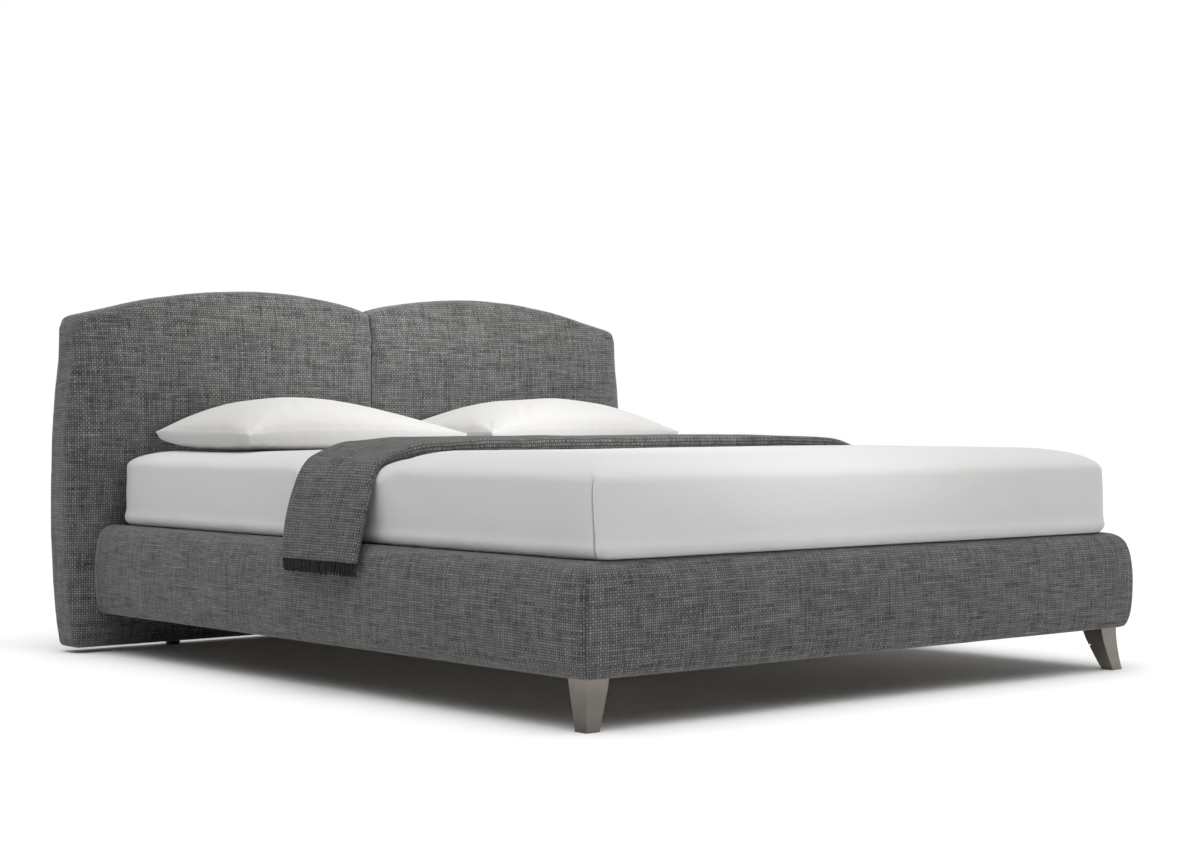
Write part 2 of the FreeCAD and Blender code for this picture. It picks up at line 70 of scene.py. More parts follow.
# ------------------------------------------------------------------ mesh tools
def add_mesh(name, verts, faces, uv=None, smooth=True):
    """One object from points, faces and, for each point, cloth coordinates in metres."""
    me = bpy.data.meshes.new(name)
    me.from_pydata([tuple(map(float, v)) for v in verts], [], [tuple(map(int, f)) for f in faces])
    me.validate()
    if uv is not None:
        set_weave(me, np.asarray(uv, float))
    me.polygons.foreach_set("use_smooth", [smooth] * len(me.polygons))
    me.update()
    o = bpy.data.objects.new(name, me)
    SC.collection.objects.link(o)
    return o


def set_weave(me, uv):
    lay = me.uv_layers.new(name="weave")
    idx = np.zeros(len(me.loops), np.int32)
    me.loops.foreach_get("vertex_index", idx)
    lay.data.foreach_set("uv", uv[idx].astype(np.float32).ravel())


def face_out(o):
    bm = bmesh.new()
    bm.from_mesh(o.data)
    bmesh.ops.recalc_face_normals(bm, faces=bm.faces)
    bm.to_mesh(o.data)
    bm.free()
    o.data.update()
    return o


def grid_faces(n, m, close_n=False, close_m=False, base=0):
    f = []
    for i in range(n if close_n else n - 1):
        for j in range(m if close_m else m - 1):
            a = base + i * m + j
            b = base + ((i + 1) % n) * m + j
            c = base + ((i + 1) % n) * m + (j + 1) % m
            d = base + i * m + (j + 1) % m
            f.append((a, b, c, d))
    return f


def smoothstep(t):
    t = np.clip(t, 0, 1)
    return t * t * (3 - 2 * t)


def ease(t):
    t = np.clip(t, 0, 1)
    return 1 - (1 - t) ** 2


def waves(p, freq, seed, octaves=2):
    """Smooth pseudo random field at points p (n, 3), about -1 to 1."""
    r = np.random.default_rng(seed)
    out = np.zeros(len(p))
    amp = 1.0
    total = 0.0
    for _ in range(octaves):
        for _ in range(6):
            k = r.normal(size=3)
            k = k / np.linalg.norm(k) * freq * (0.6 + 0.8 * r.random())
            out += amp * np.sin(p @ k * 2 * math.pi + r.random() * 6.283)
        total += amp * 2.4
        amp *= 0.5
        freq *= 2.1
    return out / total


def catmull(pts, step):
    """A smooth line through pts, sampled about every step."""
    p = np.array(pts, float)
    if len(p) == 2:
        n = max(1, int(np.ceil(np.linalg.norm(p[1] - p[0]) / step)))
        return [tuple(p[0] + (p[1] - p[0]) * i / n) for i in range(n + 1)]
    ext = np.vstack([2 * p[0] - p[1], p, 2 * p[-1] - p[-2]])
    out = []
    for i in range(1, len(ext) - 2):
        a, b, c, d = ext[i - 1], ext[i], ext[i + 1], ext[i + 2]
        ta = np.linalg.norm(b - a) ** 0.5
        tb = np.linalg.norm(c - b) ** 0.5
        tc = np.linalg.norm(d - c) ** 0.5
        m1 = (c - b) - tb * ((c - a) / (ta + tb) - (b - a) / ta) if ta > 0 else c - b
        m1 = tb * ((b - a) / ta - (c - a) / (ta + tb) + (c - b) / tb)
        m2 = tb * ((c - b) / tb - (d - b) / (tb + tc) + (d - c) / tc)
        n = max(1, int(np.ceil(np.linalg.norm(c - b) / step)))
        for k in range(n):
            t = k / n
            h = ((2 * t ** 3 - 3 * t ** 2 + 1) * b + (t ** 3 - 2 * t ** 2 + t) * m1
                 + (-2 * t ** 3 + 3 * t ** 2) * c + (t ** 3 - t ** 2) * m2)
            out.append(tuple(h))
    out.append(tuple(p[-1]))
    return out


def arc_lengths(p):
    return np.concatenate([[0], np.cumsum(np.linalg.norm(np.diff(p, axis=0), axis=1))])


# -------------------------------------------------------------- material tools
class Mat:
    """A material's node tree, built from short calls."""

    def __init__(self, name):
        self.m = bpy.data.materials.new(name)
        self.m.use_nodes = True
        self.t = self.m.node_tree
        self.t.nodes.clear()
        self.out = self.t.nodes.new("ShaderNodeOutputMaterial")

    def put(self, sock, v):
        if isinstance(v, bpy.types.NodeSocket):
            self.t.links.new(v, sock)
        elif isinstance(v, (tuple, list)) and len(v) == 3 and sock.type == "RGBA":
            sock.default_value = (*v, 1)
        else:
            sock.default_value = v

    def node(self, kind, out=0, props=None, **ins):
        n = self.t.nodes.new(kind)
        for k, v in (props or {}).items():
            setattr(n, k, v)
        for k, v in ins.items():
            key = int(k[1:]) if k[0] == "i" and k[1:].isdigit() else k.replace("_", " ")
            self.put(n.inputs[key], v)
        return n.outputs[out]

    def math(self, op, a, b=0.0, c=0.0, clamp=False):
        n = self.t.nodes.new("ShaderNodeMath")
        n.operation = op
        n.use_clamp = clamp
        self.put(n.inputs[0], a)
        self.put(n.inputs[1], b)
        self.put(n.inputs[2], c)
        return n.outputs[0]

    def add(self, a, b):
        return self.math("ADD", a, b)

    def mul(self, a, b):
        return self.math("MULTIPLY", a, b)

    def sub(self, a, b):
        return self.math("SUBTRACT", a, b)

    def mix(self, fac, a, b):
        n = self.t.nodes.new("ShaderNodeMix")
        n.data_type = "RGBA"
        self.put(n.inputs[0], fac)
        self.put(n.inputs[6], a)
        self.put(n.inputs[7], b)
        return n.outputs[2]

    def lerp(self, fac, a, b):
        n = self.t.nodes.new("ShaderNodeMix")
        n.data_type = "FLOAT"
        self.put(n.inputs[0], fac)
        self.put(n.inputs[2], a)
        self.put(n.inputs[3], b)
        return n.outputs[0]

    def xyz(self, x, y, z=0.0):
        return self.node("ShaderNodeCombineXYZ", i0=x, i1=y, i2=z)

    def split(self, v):
        n = self.t.nodes.new("ShaderNodeSeparateXYZ")
        self.t.links.new(v, n.inputs[0])
        return n.outputs[0], n.outputs[1], n.outputs[2]

    def noise(self, vec, scale, detail=2.0, rough=0.5):
        return self.node("ShaderNodeTexNoise", Vector=vec, Scale=scale, Detail=detail,
                         Roughness=rough)

    def remap(self, v, a, b, lo=0.0, hi=1.0, smooth=True):
        n = self.t.nodes.new("ShaderNodeMapRange")
        n.interpolation_type = "SMOOTHSTEP" if smooth else "LINEAR"
        n.clamp = True
        for i, x in enumerate((v, a, b, lo, hi)):
            self.put(n.inputs[i], x)
        return n.outputs[0]

    def bump(self, height, distance, strength=1.0, normal=None):
        n = self.t.nodes.new("ShaderNodeBump")
        n.inputs["Strength"].default_value = strength
        n.inputs["Distance"].default_value = distance
        self.put(n.inputs["Height"], height)
        if normal is not None:
            self.put(n.inputs["Normal"], normal)
        return n.outputs[0]

    def weave_uv(self):
        return self.node("ShaderNodeUVMap", props={"uv_map": "weave"})

    def here(self):
        return self.node("ShaderNodeTexCoord", out=3)

    def finish(self, color, rough, normal=None, **kw):
        n = self.t.nodes.new("ShaderNodeBsdfPrincipled")
        self.put(n.inputs["Base Color"], color)
        self.put(n.inputs["Roughness"], rough)
        if normal is not None:
            self.put(n.inputs["Normal"], normal)
        for k, v in kw.items():
            self.put(n.inputs[k.replace("_", " ")], v)
        self.t.links.new(n.outputs[0], self.out.inputs[0])
        return self.m


def woven(name, pitch, dark, light, contrast=1.0, slub=1.0, height=0.0006, thread_gap_shade=0.74,
          sheen=0.25, tint=(1, 1, 1), wander=0.22, broad=0.10, cross=0.12):
    """Plain weave of thick uneven yarn, drawn from the cloth coordinates."""
    m = Mat(name)
    uv = m.weave_uv()
    U, V, _ = m.split(uv)
    w1 = m.node("ShaderNodeTexNoise", out=1, Vector=uv, Scale=26.0, Detail=1.0)
    wx, wy, _ = m.split(w1)
    u = m.add(m.mul(U, 1 / pitch), m.mul(m.sub(wx, 0.5), wander * 2))
    v = m.add(m.mul(V, 1 / pitch), m.mul(m.sub(wy, 0.5), wander * 2))
    iu, iv = m.math("FLOOR", u), m.math("FLOOR", v)
    fu, fv = m.math("FRACT", u), m.math("FRACT", v)
    odd = m.mul(m.math("FRACT", m.mul(m.add(iu, iv), 0.5)), 2.0)
    su = m.math("SINE", m.mul(fu, math.pi))
    sv = m.math("SINE", m.mul(fv, math.pi))
    hw = m.mul(su, m.math("POWER", sv, 0.5))
    hf = m.mul(m.math("POWER", su, 0.5), sv)
    h = m.lerp(odd, hf, hw)
    # uneven yarn: each thread has its own tone, which wanders along it
    warp = m.noise(m.xyz(m.mul(iu, 7.31), m.mul(V, 16.0), 3.7), 1.0, 2.0, 0.6)
    weft = m.noise(m.xyz(m.mul(U, 13.0), m.mul(iv, 5.77), 9.1), 1.0, 2.0, 0.6)
    speck = m.node("ShaderNodeTexWhiteNoise", props={"noise_dimensions": "2D"},
                   Vector=m.xyz(iu, iv))
    tone = m.lerp(m.add(m.mul(odd, 0.36), 0.28), weft, warp)
    tone = m.add(m.mul(m.sub(tone, 0.5), 2.3 * contrast), 0.5)
    tone = m.add(tone, m.mul(m.sub(speck, 0.5), 0.20 * contrast))
    tone = m.math("ADD", tone, 0.0, clamp=True)
    col = m.mix(tone, dark, light)
    # slubs run along the weft, one thread high
    s1 = m.noise(m.xyz(m.mul(U, 12.0), m.mul(iv, 3.13), 21.0), 1.0, 1.0)
    s2 = m.noise(m.xyz(m.mul(iu, 3.13), m.mul(V, 8.0), 47.0), 1.0, 1.0)
    low = m.remap(s1, 0.38, 0.27, 0.0, 0.34 * slub)
    lift = m.remap(s1, 0.66, 0.78, 0.0, 0.26 * slub)
    low2 = m.remap(s2, 0.34, 0.24, 0.0, 0.20 * slub)
    shade = m.sub(m.sub(m.add(1.0, lift), low), low2)
    wide = m.noise(uv, 5.0, 3.0, 0.55)
    shade = m.mul(shade, m.add(1.0 - broad / 2, m.mul(wide, broad)))
    # painted shade: the yarn colour is darkened where the thread surface is low, in the gaps between threads, and
    # lightened on the thread crowns as a painted highlight
    shade = m.mul(shade, m.lerp(h, 1 - thread_gap_shade, 1.0 + thread_gap_shade * 0.45))
    # the warp is the paler yarn
    shade = m.mul(shade, m.lerp(odd, 1 - cross, 1 + cross))
    col = m.node("ShaderNodeVectorMath", props={"operation": "SCALE"}, i0=col, Scale=shade)
    hh = m.add(h, m.mul(m.add(lift, m.mul(low, 0.4)), 0.8))
    nrm = m.bump(hh, height, 0.8)
    return m.finish(col, 0.92, nrm, Sheen_Weight=sheen, Sheen_Roughness=0.45,
                    Sheen_Tint=tint, Specular_IOR_Level=0.25)


def cotton(name, color, crease=0.0012, scale=9.0):
    """Smooth white cotton with faint creases and thread grain."""
    m = Mat(name)
    p = m.here()
    big = m.noise(p, scale, 3.0, 0.55)
    fine = m.noise(p, 260.0, 2.0, 0.6)
    lines = m.node("ShaderNodeTexNoise", props={"noise_type": "RIDGED_MULTIFRACTAL"},
                   Vector=p, Scale=scale * 0.7, Detail=2.0)
    n1 = m.bump(m.add(big, m.mul(lines, 0.12)), crease * 6, 0.5)
    n2 = m.bump(fine, 0.0003, 0.35, n1)
    var = m.noise(p, 3.0, 2.0)
    col = m.mix(var, tuple(c * 0.965 for c in color), color)
    col = m.mix(m.remap(fine, 0.3, 0.7, 0.0, 0.10), col, tuple(c * 0.86 for c in color))
    return m.finish(col, 0.85, n2, Sheen_Weight=0.15, Sheen_Roughness=0.5,
                    Specular_IOR_Level=0.3)


def timber(name, light, dark, axis=0, grain=55.0, rough=0.6):
    m = Mat(name)
    x, y, z = m.split(m.here())
    ax = [x, y, z]
    long_, a, b = ax[axis], ax[(axis + 1) % 3], ax[(axis + 2) % 3]
    p = m.xyz(m.mul(long_, 1.6), m.mul(a, grain), m.mul(b, grain))
    g = m.noise(p, 1.0, 4.0, 0.65)
    ring = m.math("SINE", m.mul(m.add(m.mul(g, 3.0), m.mul(a, grain * 1.7)), 3.0))
    f = m.add(m.mul(g, 0.7), m.mul(m.add(ring, 1.0), 0.16))
    pores = m.noise(m.xyz(m.mul(long_, 9.0), m.mul(a, 420.0), m.mul(b, 420.0)), 1.0, 1.0)
    col = m.mix(m.remap(f, 0.25, 0.8), light, dark)
    col = m.mix(m.remap(pores, 0.6, 0.75, 0.0, 0.35), col, tuple(c * 0.55 for c in dark))
    return m.finish(col, m.lerp(g, rough - 0.08, rough + 0.08),
                    m.bump(m.add(f, m.mul(pores, -0.5)), 0.0004, 0.5))


def plated(name, color, rough, wear=0.12, scale=60.0, metal=1.0, brushed=None):
    m = Mat(name)
    p = m.here()
    if brushed is not None:
        x, y, z = m.split(p)
        p2 = m.xyz(m.mul(x, brushed[0]), m.mul(y, brushed[1]), m.mul(z, brushed[2]))
        f = m.noise(p2, 1.0, 2.0, 0.6)
    else:
        f = m.noise(p, scale * 8, 2.0, 0.6)
    s = m.noise(p, scale, 3.0, 0.6)
    col = m.mix(m.remap(s, 0.35, 0.75), color, tuple(c * (1 - wear) for c in color))
    r = m.add(m.lerp(s, rough * 0.85, rough * 1.2), m.mul(m.sub(f, 0.5), 0.16))
    return m.finish(col, r, m.bump(f, 0.00015, 0.5), Metallic=metal)


def moulded(name, color, rough=0.5):
    m = Mat(name)
    p = m.here()
    s = m.noise(p, 90.0, 2.0)
    f = m.noise(p, 900.0, 2.0)
    col = m.mix(s, color, tuple(min(1, c * 1.25 + 0.004) for c in color))
    return m.finish(col, m.lerp(s, rough - 0.06, rough + 0.08), m.bump(f, 0.0001, 0.5))


FABRIC = woven("upholstery_weave", 0.0057, (0.048, 0.0473, 0.0462), (0.210, 0.207, 0.203))
COVER = woven("dust_cover_cloth", 0.0016, (0.018, 0.018, 0.019), (0.036, 0.036, 0.037), slub=0.2,
              sheen=0.1)
WOOL = woven("throw_wool", 0.0064, (0.051, 0.0502, 0.0490), (0.208, 0.205, 0.199), contrast=0.9,
             slub=0.4, height=0.0010, thread_gap_shade=0.80, sheen=0.10, broad=0.05, cross=0.15)
YARN = woven("fringe_yarn", 0.0020, (0.010, 0.0098, 0.0095), (0.034, 0.0334, 0.032), slub=0.0,
             height=0.0004, sheen=0.15)
SHEET = cotton("sheet_cotton", (0.635, 0.634, 0.630), 0.0010, 6.0)
LINEN = cotton("pillow_cotton", (0.612, 0.602, 0.589), 0.0012, 9.0)
TICKING = woven("mattress_ticking", 0.0022, (0.55, 0.55, 0.54), (0.75, 0.75, 0.74), slub=0.3)
PLY = timber("plywood", (0.53, 0.43, 0.32), (0.37, 0.29, 0.20), 0, 40.0)
PINE = timber("pine", (0.58, 0.48, 0.35), (0.40, 0.31, 0.21), 0, 48.0)
BOARDING = timber("frame_board", (0.48, 0.41, 0.32), (0.33, 0.27, 0.20), 1, 60.0)
HARD = timber("hardwood", (0.38, 0.30, 0.23), (0.24, 0.18, 0.13), 2, 70.0)
BIRCH = timber("slat_birch", (0.62, 0.55, 0.46), (0.47, 0.40, 0.32), 0, 42.0, 0.5)
BLACK = plated("black_steel", (0.028, 0.028, 0.030), 0.46, 0.3, 50.0, 0.6)
ZINC = plated("zinc_steel", (0.62, 0.63, 0.64), 0.34, 0.15, 120.0)
LEG = plated("leg_metal", (0.262, 0.243, 0.213), 0.38, 0.08, 22.0, 1.0, (240.0, 240.0, 9.0))
GLIDE = moulded("glide_plastic", (0.016, 0.016, 0.017), 0.45)
CAP = moulded("cap_plastic", (0.045, 0.045, 0.047), 0.55)
FINISH = {"bed_fabric": FABRIC, "dust_cover": COVER, "plywood": PLY, "pine": PINE,
          "frame_board": BOARDING, "hardwood": HARD, "black_steel": BLACK, "zinc_steel": ZINC,
          "leg_metal": LEG, "glide_plastic": GLIDE, "slat_birch": BIRCH, "cap_plastic": CAP,
          "mattress_ticking": TICKING, "sheet_cotton": SHEET, "pillow_cotton": LINEN,
          "throw_wool": WOOL}


def wear(o, mat, slot):
    o.data.materials.clear()
    o.data.materials.append(mat)


# --------------------------------------------------------------- headboard pads
TOP = [(12, 953), (30, 961), (55, 968), (90, 976), (130, 983), (210, 994),
       (280, 1001), (400, 1005), (500, 1001), (570, 996), (630, 988),
       (700, 978), (770, 964), (850, 945), (900, 934), (945, 924)]
OUTER = [(975, 888), (978, 800), (985, 740), (990, 690), (994, 630),
         (997, 580), (999, 500), (1000, 420), (999, 300), (996, 250),
         (993, 190), (989, 140), (983, 83), (975, 34)]


def panel_outline():
    runs = [[(1.5, 942), (4.5, 949), (12, 953)], TOP, [(945, 924), (963, 915), (975, 888)],
            OUTER, [(975, 34), (970, 20), (955, 14)], [(955, 14), (13.5, 14)],
            [(13.5, 14), (5, 17.5), (1.5, 26)], [(1.5, 26), (1.5, 942)]]
    pts = []
    for r in runs:
        pts += catmull(r, 4.0)[:-1]
    return np.array(pts) / 1000.0


def signed_inset(line, q):
    """How far points q lie inside the closed line, and the direction inwards."""
    a = line
    b = np.roll(line, -1, axis=0)
    ab = b - a
    l2 = (ab ** 2).sum(1)
    mid = line.mean(0)
    inward = np.stack([-ab[:, 1], ab[:, 0]], 1) / np.sqrt(l2)[:, None]
    if ((mid - a) * inward).sum() < 0:
        inward = -inward
    inward = (inward + 0.5 * np.roll(inward, 1, 0) + 0.5 * np.roll(inward, -1, 0))
    inward /= np.linalg.norm(inward, axis=1)[:, None]
    d = np.empty(len(q))
    g = np.empty((len(q), 2))
    for s in range(0, len(q), 6000):
        p = q[s:s + 6000, None, :]
        t = np.clip(((p - a) * ab).sum(2) / l2, 0, 1)
        near = a + t[..., None] * ab
        v = p - near
        dist = np.sqrt((v ** 2).sum(2))
        k = dist.argmin(1)
        r = np.arange(len(k))
        d[s:s + 6000] = dist[r, k]
        g[s:s + 6000] = inward[k]
    inside = np.zeros(len(q), bool)
    x, z = q[:, 0], q[:, 1]
    for i in range(len(a)):
        x1, z1 = a[i]
        x2, z2 = b[i]
        if z1 == z2:
            continue
        c = (z1 > z) != (z2 > z)
        inside ^= c & (x < (x2 - x1) * (z - z1) / (z2 - z1) + x1)
    return d * np.where(inside, 1.0, -1.0), g


def make_panel(name, node, side, seed):
    lo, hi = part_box(node)
    out = panel_outline()
    ref_lo, ref_hi = out.min(0), out.max(0)
    x0, x1 = (lo.x, hi.x) if side > 0 else (-hi.x, -lo.x)
    # the cloth reaches the middle, where the two panels press together
    out[:, 0] = x0 + (out[:, 0] - ref_lo[0]) / (ref_hi[0] - ref_lo[0]) * (x1 - x0)
    out[:, 1] = lo.z + (out[:, 1] - ref_lo[1]) / (ref_hi[1] - ref_lo[1]) * (hi.z - lo.z)
    back = hi.y
    # a solid block of small cubes in the outline's shape, later drawn onto the padding
    thick = 0.100
    poly = out[::2]
    n = len(poly)
    verts = [(p[0], back - thick, p[1]) for p in poly] + [(p[0], back, p[1]) for p in poly]
    faces = [tuple(range(n)), tuple(range(2 * n - 1, n - 1, -1))]
    faces += [(i, (i + 1) % n, n + (i + 1) % n, n + i) for i in range(n)]
    o = add_mesh(name, verts, faces)
    face_out(o)
    mod = o.modifiers.new("cubes", "REMESH")
    mod.mode = "VOXEL"
    mod.voxel_size = 0.0068
    dg = bpy.context.evaluated_depsgraph_get()
    me = bpy.data.meshes.new_from_object(o.evaluated_get(dg))
    co = np.zeros(len(me.vertices) * 3)
    me.vertices.foreach_get("co", co)
    co = co.reshape(-1, 3)

    zs = out[:, 1]
    highest = {}
    for px, pz in out[out[:, 1] > 0.80]:
        q = round(float(px), 3)
        highest[q] = max(float(pz), highest.get(q, 0.0))
    top_x = np.array(sorted(highest))
    top_z = np.array([highest[q] for q in top_x])
    edge = out[(out[:, 0] > 0.90) & (out[:, 1] < 0.915) & (out[:, 1] > 0.0145)]
    edge = edge[np.argsort(edge[:, 1])]

    def crown(x, z):
        d_in = x - x0
        d_out = np.interp(z, edge[:, 1], edge[:, 0]) - x
        d_top = np.interp(x, top_x, top_z) - z
        d_bot = z - lo.z
        amp = 0.0192 + 0.0148 * smoothstep((z - 0.335) / 0.27)
        return (amp * (0.76 + 0.24 * ease(d_in / 0.045)) * ease(d_out / 0.12) * ease(d_top / 0.22)
                * ease(d_bot / 0.07))

    front, r_front, r_back = 0.9908, 0.0172, 0.009
    th = np.linspace(0, math.pi / 2, 12)
    arc_f = np.stack([r_front - r_front * np.sin(th), front + r_front - r_front * np.cos(th)], 1)
    arc_b = np.stack([r_back - r_back * np.sin(th), back - r_back + r_back * np.cos(th)], 1)[::-1]
    prof = np.vstack([[(2.0, front)], arc_f, arc_b, [(2.0, back)]])
    pl = arc_lengths(prof)
    for _ in range(3):
        d, g = signed_inset(out, co[:, [0, 2]])
        w = 1 - smoothstep((co[:, 1] - 1.010) / 0.045)
        c = crown(co[:, 0], co[:, 2]) * w
        y = co[:, 1] + c
        a, b = prof[:-1], prof[1:]
        ab = b - a
        best = np.full(len(co), 1e9)
        q = np.stack([d, y], 1)
        near = np.zeros((len(co), 2))
        for i in range(len(a)):
            t = np.clip(((q - a[i]) @ ab[i]) / (ab[i] @ ab[i]), 0, 1)
            p = a[i] + t[:, None] * ab[i]
            e = ((q - p) ** 2).sum(1)
            m = e < best
            best[m] = e[m]
            near[m] = p[m]
        co[:, 0] += (near[:, 0] - d) * g[:, 0]
        co[:, 2] += (near[:, 0] - d) * g[:, 1]
        co[:, 1] = near[:, 1] - c
    d, g = signed_inset(out, co[:, [0, 2]])
    # soft foam: slow hollows, deeper where the pad is drawn round its edge
    soft = waves(co * [1, 0, 1], 3.2, seed, 2)
    rim = np.exp(-((d - 0.030) / 0.022) ** 2)
    w = 1 - smoothstep((co[:, 1] - 1.000) / 0.03)
    co[:, 1] += w * (0.0013 * soft * smoothstep(d / 0.08)
                     + 0.0009 * rim * waves(co * [1, 0, 1], 9.0, seed + 5, 1))
    me.vertices.foreach_set("co", co.ravel())
    # cloth coordinates run on round the edge
    extra = np.clip(co[:, 1] - (front - crown(co[:, 0], co[:, 2])), 0, None)
    fade = smoothstep((0.03 - d) / 0.03)
    uv = np.stack([co[:, 0] - extra * fade * g[:, 0], co[:, 2] - extra * fade * g[:, 1]], 1)
    uv[:, 0] *= side
    co[:, 0] *= side
    me.vertices.foreach_set("co", co.ravel())
    uv = uv * 0.86 + [0.37 * (side < 0), 0.13 * (side < 0)]
    if me.uv_layers:
        me.uv_layers.remove(me.uv_layers[0])
    set_weave(me, uv)
    me.polygons.foreach_set("use_smooth", [True] * len(me.polygons))
    bpy.data.objects.remove(o)
    p = bpy.data.objects.new(name, me)
    SC.collection.objects.link(p)
    face_out(p)
    wear(p, FABRIC, "bed_fabric")
    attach(p, "root")
    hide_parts(node)
    return p


panels = [make_panel("right_headboard_pad", "right_headboard_upholstery", 1, 11),
          make_panel("left_headboard_pad", "left_headboard_upholstery", -1, 23)]

# ------------------------------------------------------------------- rail pads
BULGE = [(-26, 349.6), (-11, 347), (1, 341), (12, 329), (18, 314), (22, 297),
         (25, 274), (27, 241), (27, 209), (25, 165), (22, 141), (18, 124),
         (12, 112), (3, 108)]


def rail_section():
    """Closed section of a padded rail: distance outside the corner line, height."""
    outer = catmull([(-32.6, 349.9)] + BULGE, 6.5)
    inner = [(-8, 108.4), (-20, 108.4), (-30.6, 108.4), (-30.6, 109.5), (-20, 109.6), (-8.6, 109.7),
             (-8.6, 150), (-8.6, 220), (-8.6, 290), (-8.6, 336.4), (-20, 336.4), (-32.6, 336.4),
             (-32.6, 343)]
    return np.array(outer) / 1000, np.array(inner) / 1000


def make_rail(name, node, origin, along, outward, length, mitre0, mitre1, seed):
    """A padded rail from one corner: origin is on the corner line, mitred ends are drawn round
    the corner into a seam."""
    outer, inner = rail_section()
    o_, a_, n_ = (np.array(v, float) for v in (origin, along, outward))
    near = np.array([0, 0.0009, 0.0018, 0.0030, 0.0045, 0.0065, 0.009, 0.013, 0.018, 0.024, 0.032,
                     0.043, 0.057])
    step = 0.012
    mid = np.arange(0.072, length - 0.072, step)
    s = list(near) if mitre0 else [0.0, 0.02, 0.045]
    e = list(length - near[::-1]) if mitre1 else [length - 0.045, length - 0.02, length]
    stations = np.array(s + list(mid) + e)
    sec = np.vstack([outer, inner])
    n_out = len(outer)
    al = arc_lengths(outer)
    verts, uvs = [], []
    r = 0.016
    for si in stations:
        for k, (b, z) in enumerate(sec):
            on = k < n_out
            t = si
            bb = b
            pos_along = t
            for end, flip in ((0, 1), (1, -1)):
                if (end == 0 and mitre0) or (end == 1 and mitre1):
                    q = si if end == 0 else length - si     # distance from the mitre's own corner
                    if q >= 0.09:
                        continue
                    # this line of the section meets the mitre at -b; stretch the rest evenly
                    arc = r * math.pi / 4
                    path = (0.09 + b - r) + arc if on else 0.09 + b
                    u = q / 0.09 * path
                    if on and u < arc:
                        ang = math.pi / 4 - u / r
                        bb = b - r + r * math.cos(ang)
                        reach = -b + r - r * math.sin(ang)
                    elif on:
                        reach = -b + r + (u - arc)
                    else:
                        reach = -b + u
                    if on and u < 0.009:
                        dip = 0.0046 * math.exp(-(u / 0.0026) ** 2)
                        bb -= dip * 0.7
                        reach += dip * 0.7
                    pos_along = reach if end == 0 else length - reach
            if on and bb > -0.010:
                p3 = o_ + a_ * pos_along + n_ * bb + np.array([0, 0, z])
                w = smoothstep(min(si if mitre0 else 1, (length - si) if mitre1 else 1) / 0.10)
                bb += w * (0.0011 * waves(p3[None] * [1, 1, 0.6], 3.4, seed, 2)[0])
            verts.append(o_ + a_ * pos_along + n_ * bb + np.array([0, 0, z]))
            uvs.append((si, -al[k] if on else z))
    n, m = len(stations), len(sec)
    faces = grid_faces(n, m, close_m=True)
    faces.append(tuple(range(m)))
    faces.append(tuple(range((n - 1) * m, n * m))[::-1])
    uv = np.array(uvs) + [seed * 0.31, seed * 0.17]
    ob = add_mesh(name, verts, faces, uv)
    face_out(ob)
    wear(ob, FABRIC, "bed_fabric")
    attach(ob, "root")
    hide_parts(node)
    return ob


CX, CY = 0.895, -1.064
HEAD_END = 0.979
# each rail is drawn from a foot corner, the foot rail from corner to corner
left_rail = make_rail("left_side_rail_pad", "left_side_rail_upholstery", (-CX, CY, 0), (0, 1, 0),
                      (-1, 0, 0), HEAD_END - CY, True, False, 3)
right_rail = make_rail("right_side_rail_pad", "right_side_rail_upholstery", (CX, CY, 0), (0, 1, 0),
                       (1, 0, 0), HEAD_END - CY, True, False, 4)
foot_rail = make_rail("foot_rail_pad", "foot_rail_upholstery", (-CX, CY, 0), (1, 0, 0),
                      (0, -1, 0), 2 * CX, True, True, 5)


# -------------------------------------------------------------- mattress, sheet
# the shoulder of the mattress: how far it runs in, how far it drops, plan corner
RUN, DROP, SQ, ROUND = 0.185, 0.061, 8.4, 2.1
SHEET_TOP = 0.568
# height of the cloth stack's underside across the bed, half width (mm)
REST = [(0, 561.8), (300, 561.8), (470, 561.2), (555, 560), (625, 557.6), (713, 552.4),
        (769, 545.5), (798, 540), (826, 531.2), (846, 516), (860.5, 495), (869, 474),
        (878, 450), (889, 420), (900, 390), (914, 350), (929, 304.5)]
THROW_Y = (-0.244, 0.098)
# the two long edges of the throw down its hanging ends: height, foot edge, head edge
EDGES = np.array([(0.304, -0.299, 0.004), (0.350, -0.290, 0.021), (0.400, -0.281, 0.033),
                  (0.450, -0.276, 0.040), (0.490, -0.268, 0.038), (0.510, -0.257, 0.037),
                  (0.530, -0.249, 0.045), (0.545, -0.246, 0.060), (0.556, -0.244, 0.085),
                  (0.562, -0.244, 0.098)])


def half_sizes():
    slo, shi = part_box("fitted_sheet")
    return shi.x - 0.0002, slo.y + 0.0135, shi.y, slo.z + 0.0002


def plan_reach(x, y, hx, y0, y1):
    ex = np.clip(1 - (hx - np.abs(x)) / RUN, 0, None)
    ey = np.clip(1 - np.minimum(y - y0, y1 - y) / RUN, 0, None)
    return (ex ** SQ + ey ** SQ) ** (1 / SQ)


def dents(x, y):
    """Pressed-in places under the pillows, as a drop in metres."""
    out = np.zeros(len(x))
    for cx, deep in ((-0.50, 0.0190), (0.40, 0.0110)):
        out += deep * np.exp(-((x - cx) / 0.50) ** 2 - ((y - 0.66) / 0.44) ** 2)
    out = np.minimum(out, 0.0190)
    return out


def shoulder(e):
    return DROP * (1 - (1 - np.clip(e, 0, 1) ** ROUND) ** (1 / ROUND))


def sheet_z(x, y):
    hx, y0, y1, zb = half_sizes()
    e = np.clip(plan_reach(x, y, hx, y0, y1), 0, 1)
    return SHEET_TOP - shoulder(e) - dents(x, y) * np.sqrt(1 - np.clip(e, 0, 0.999) ** 2)


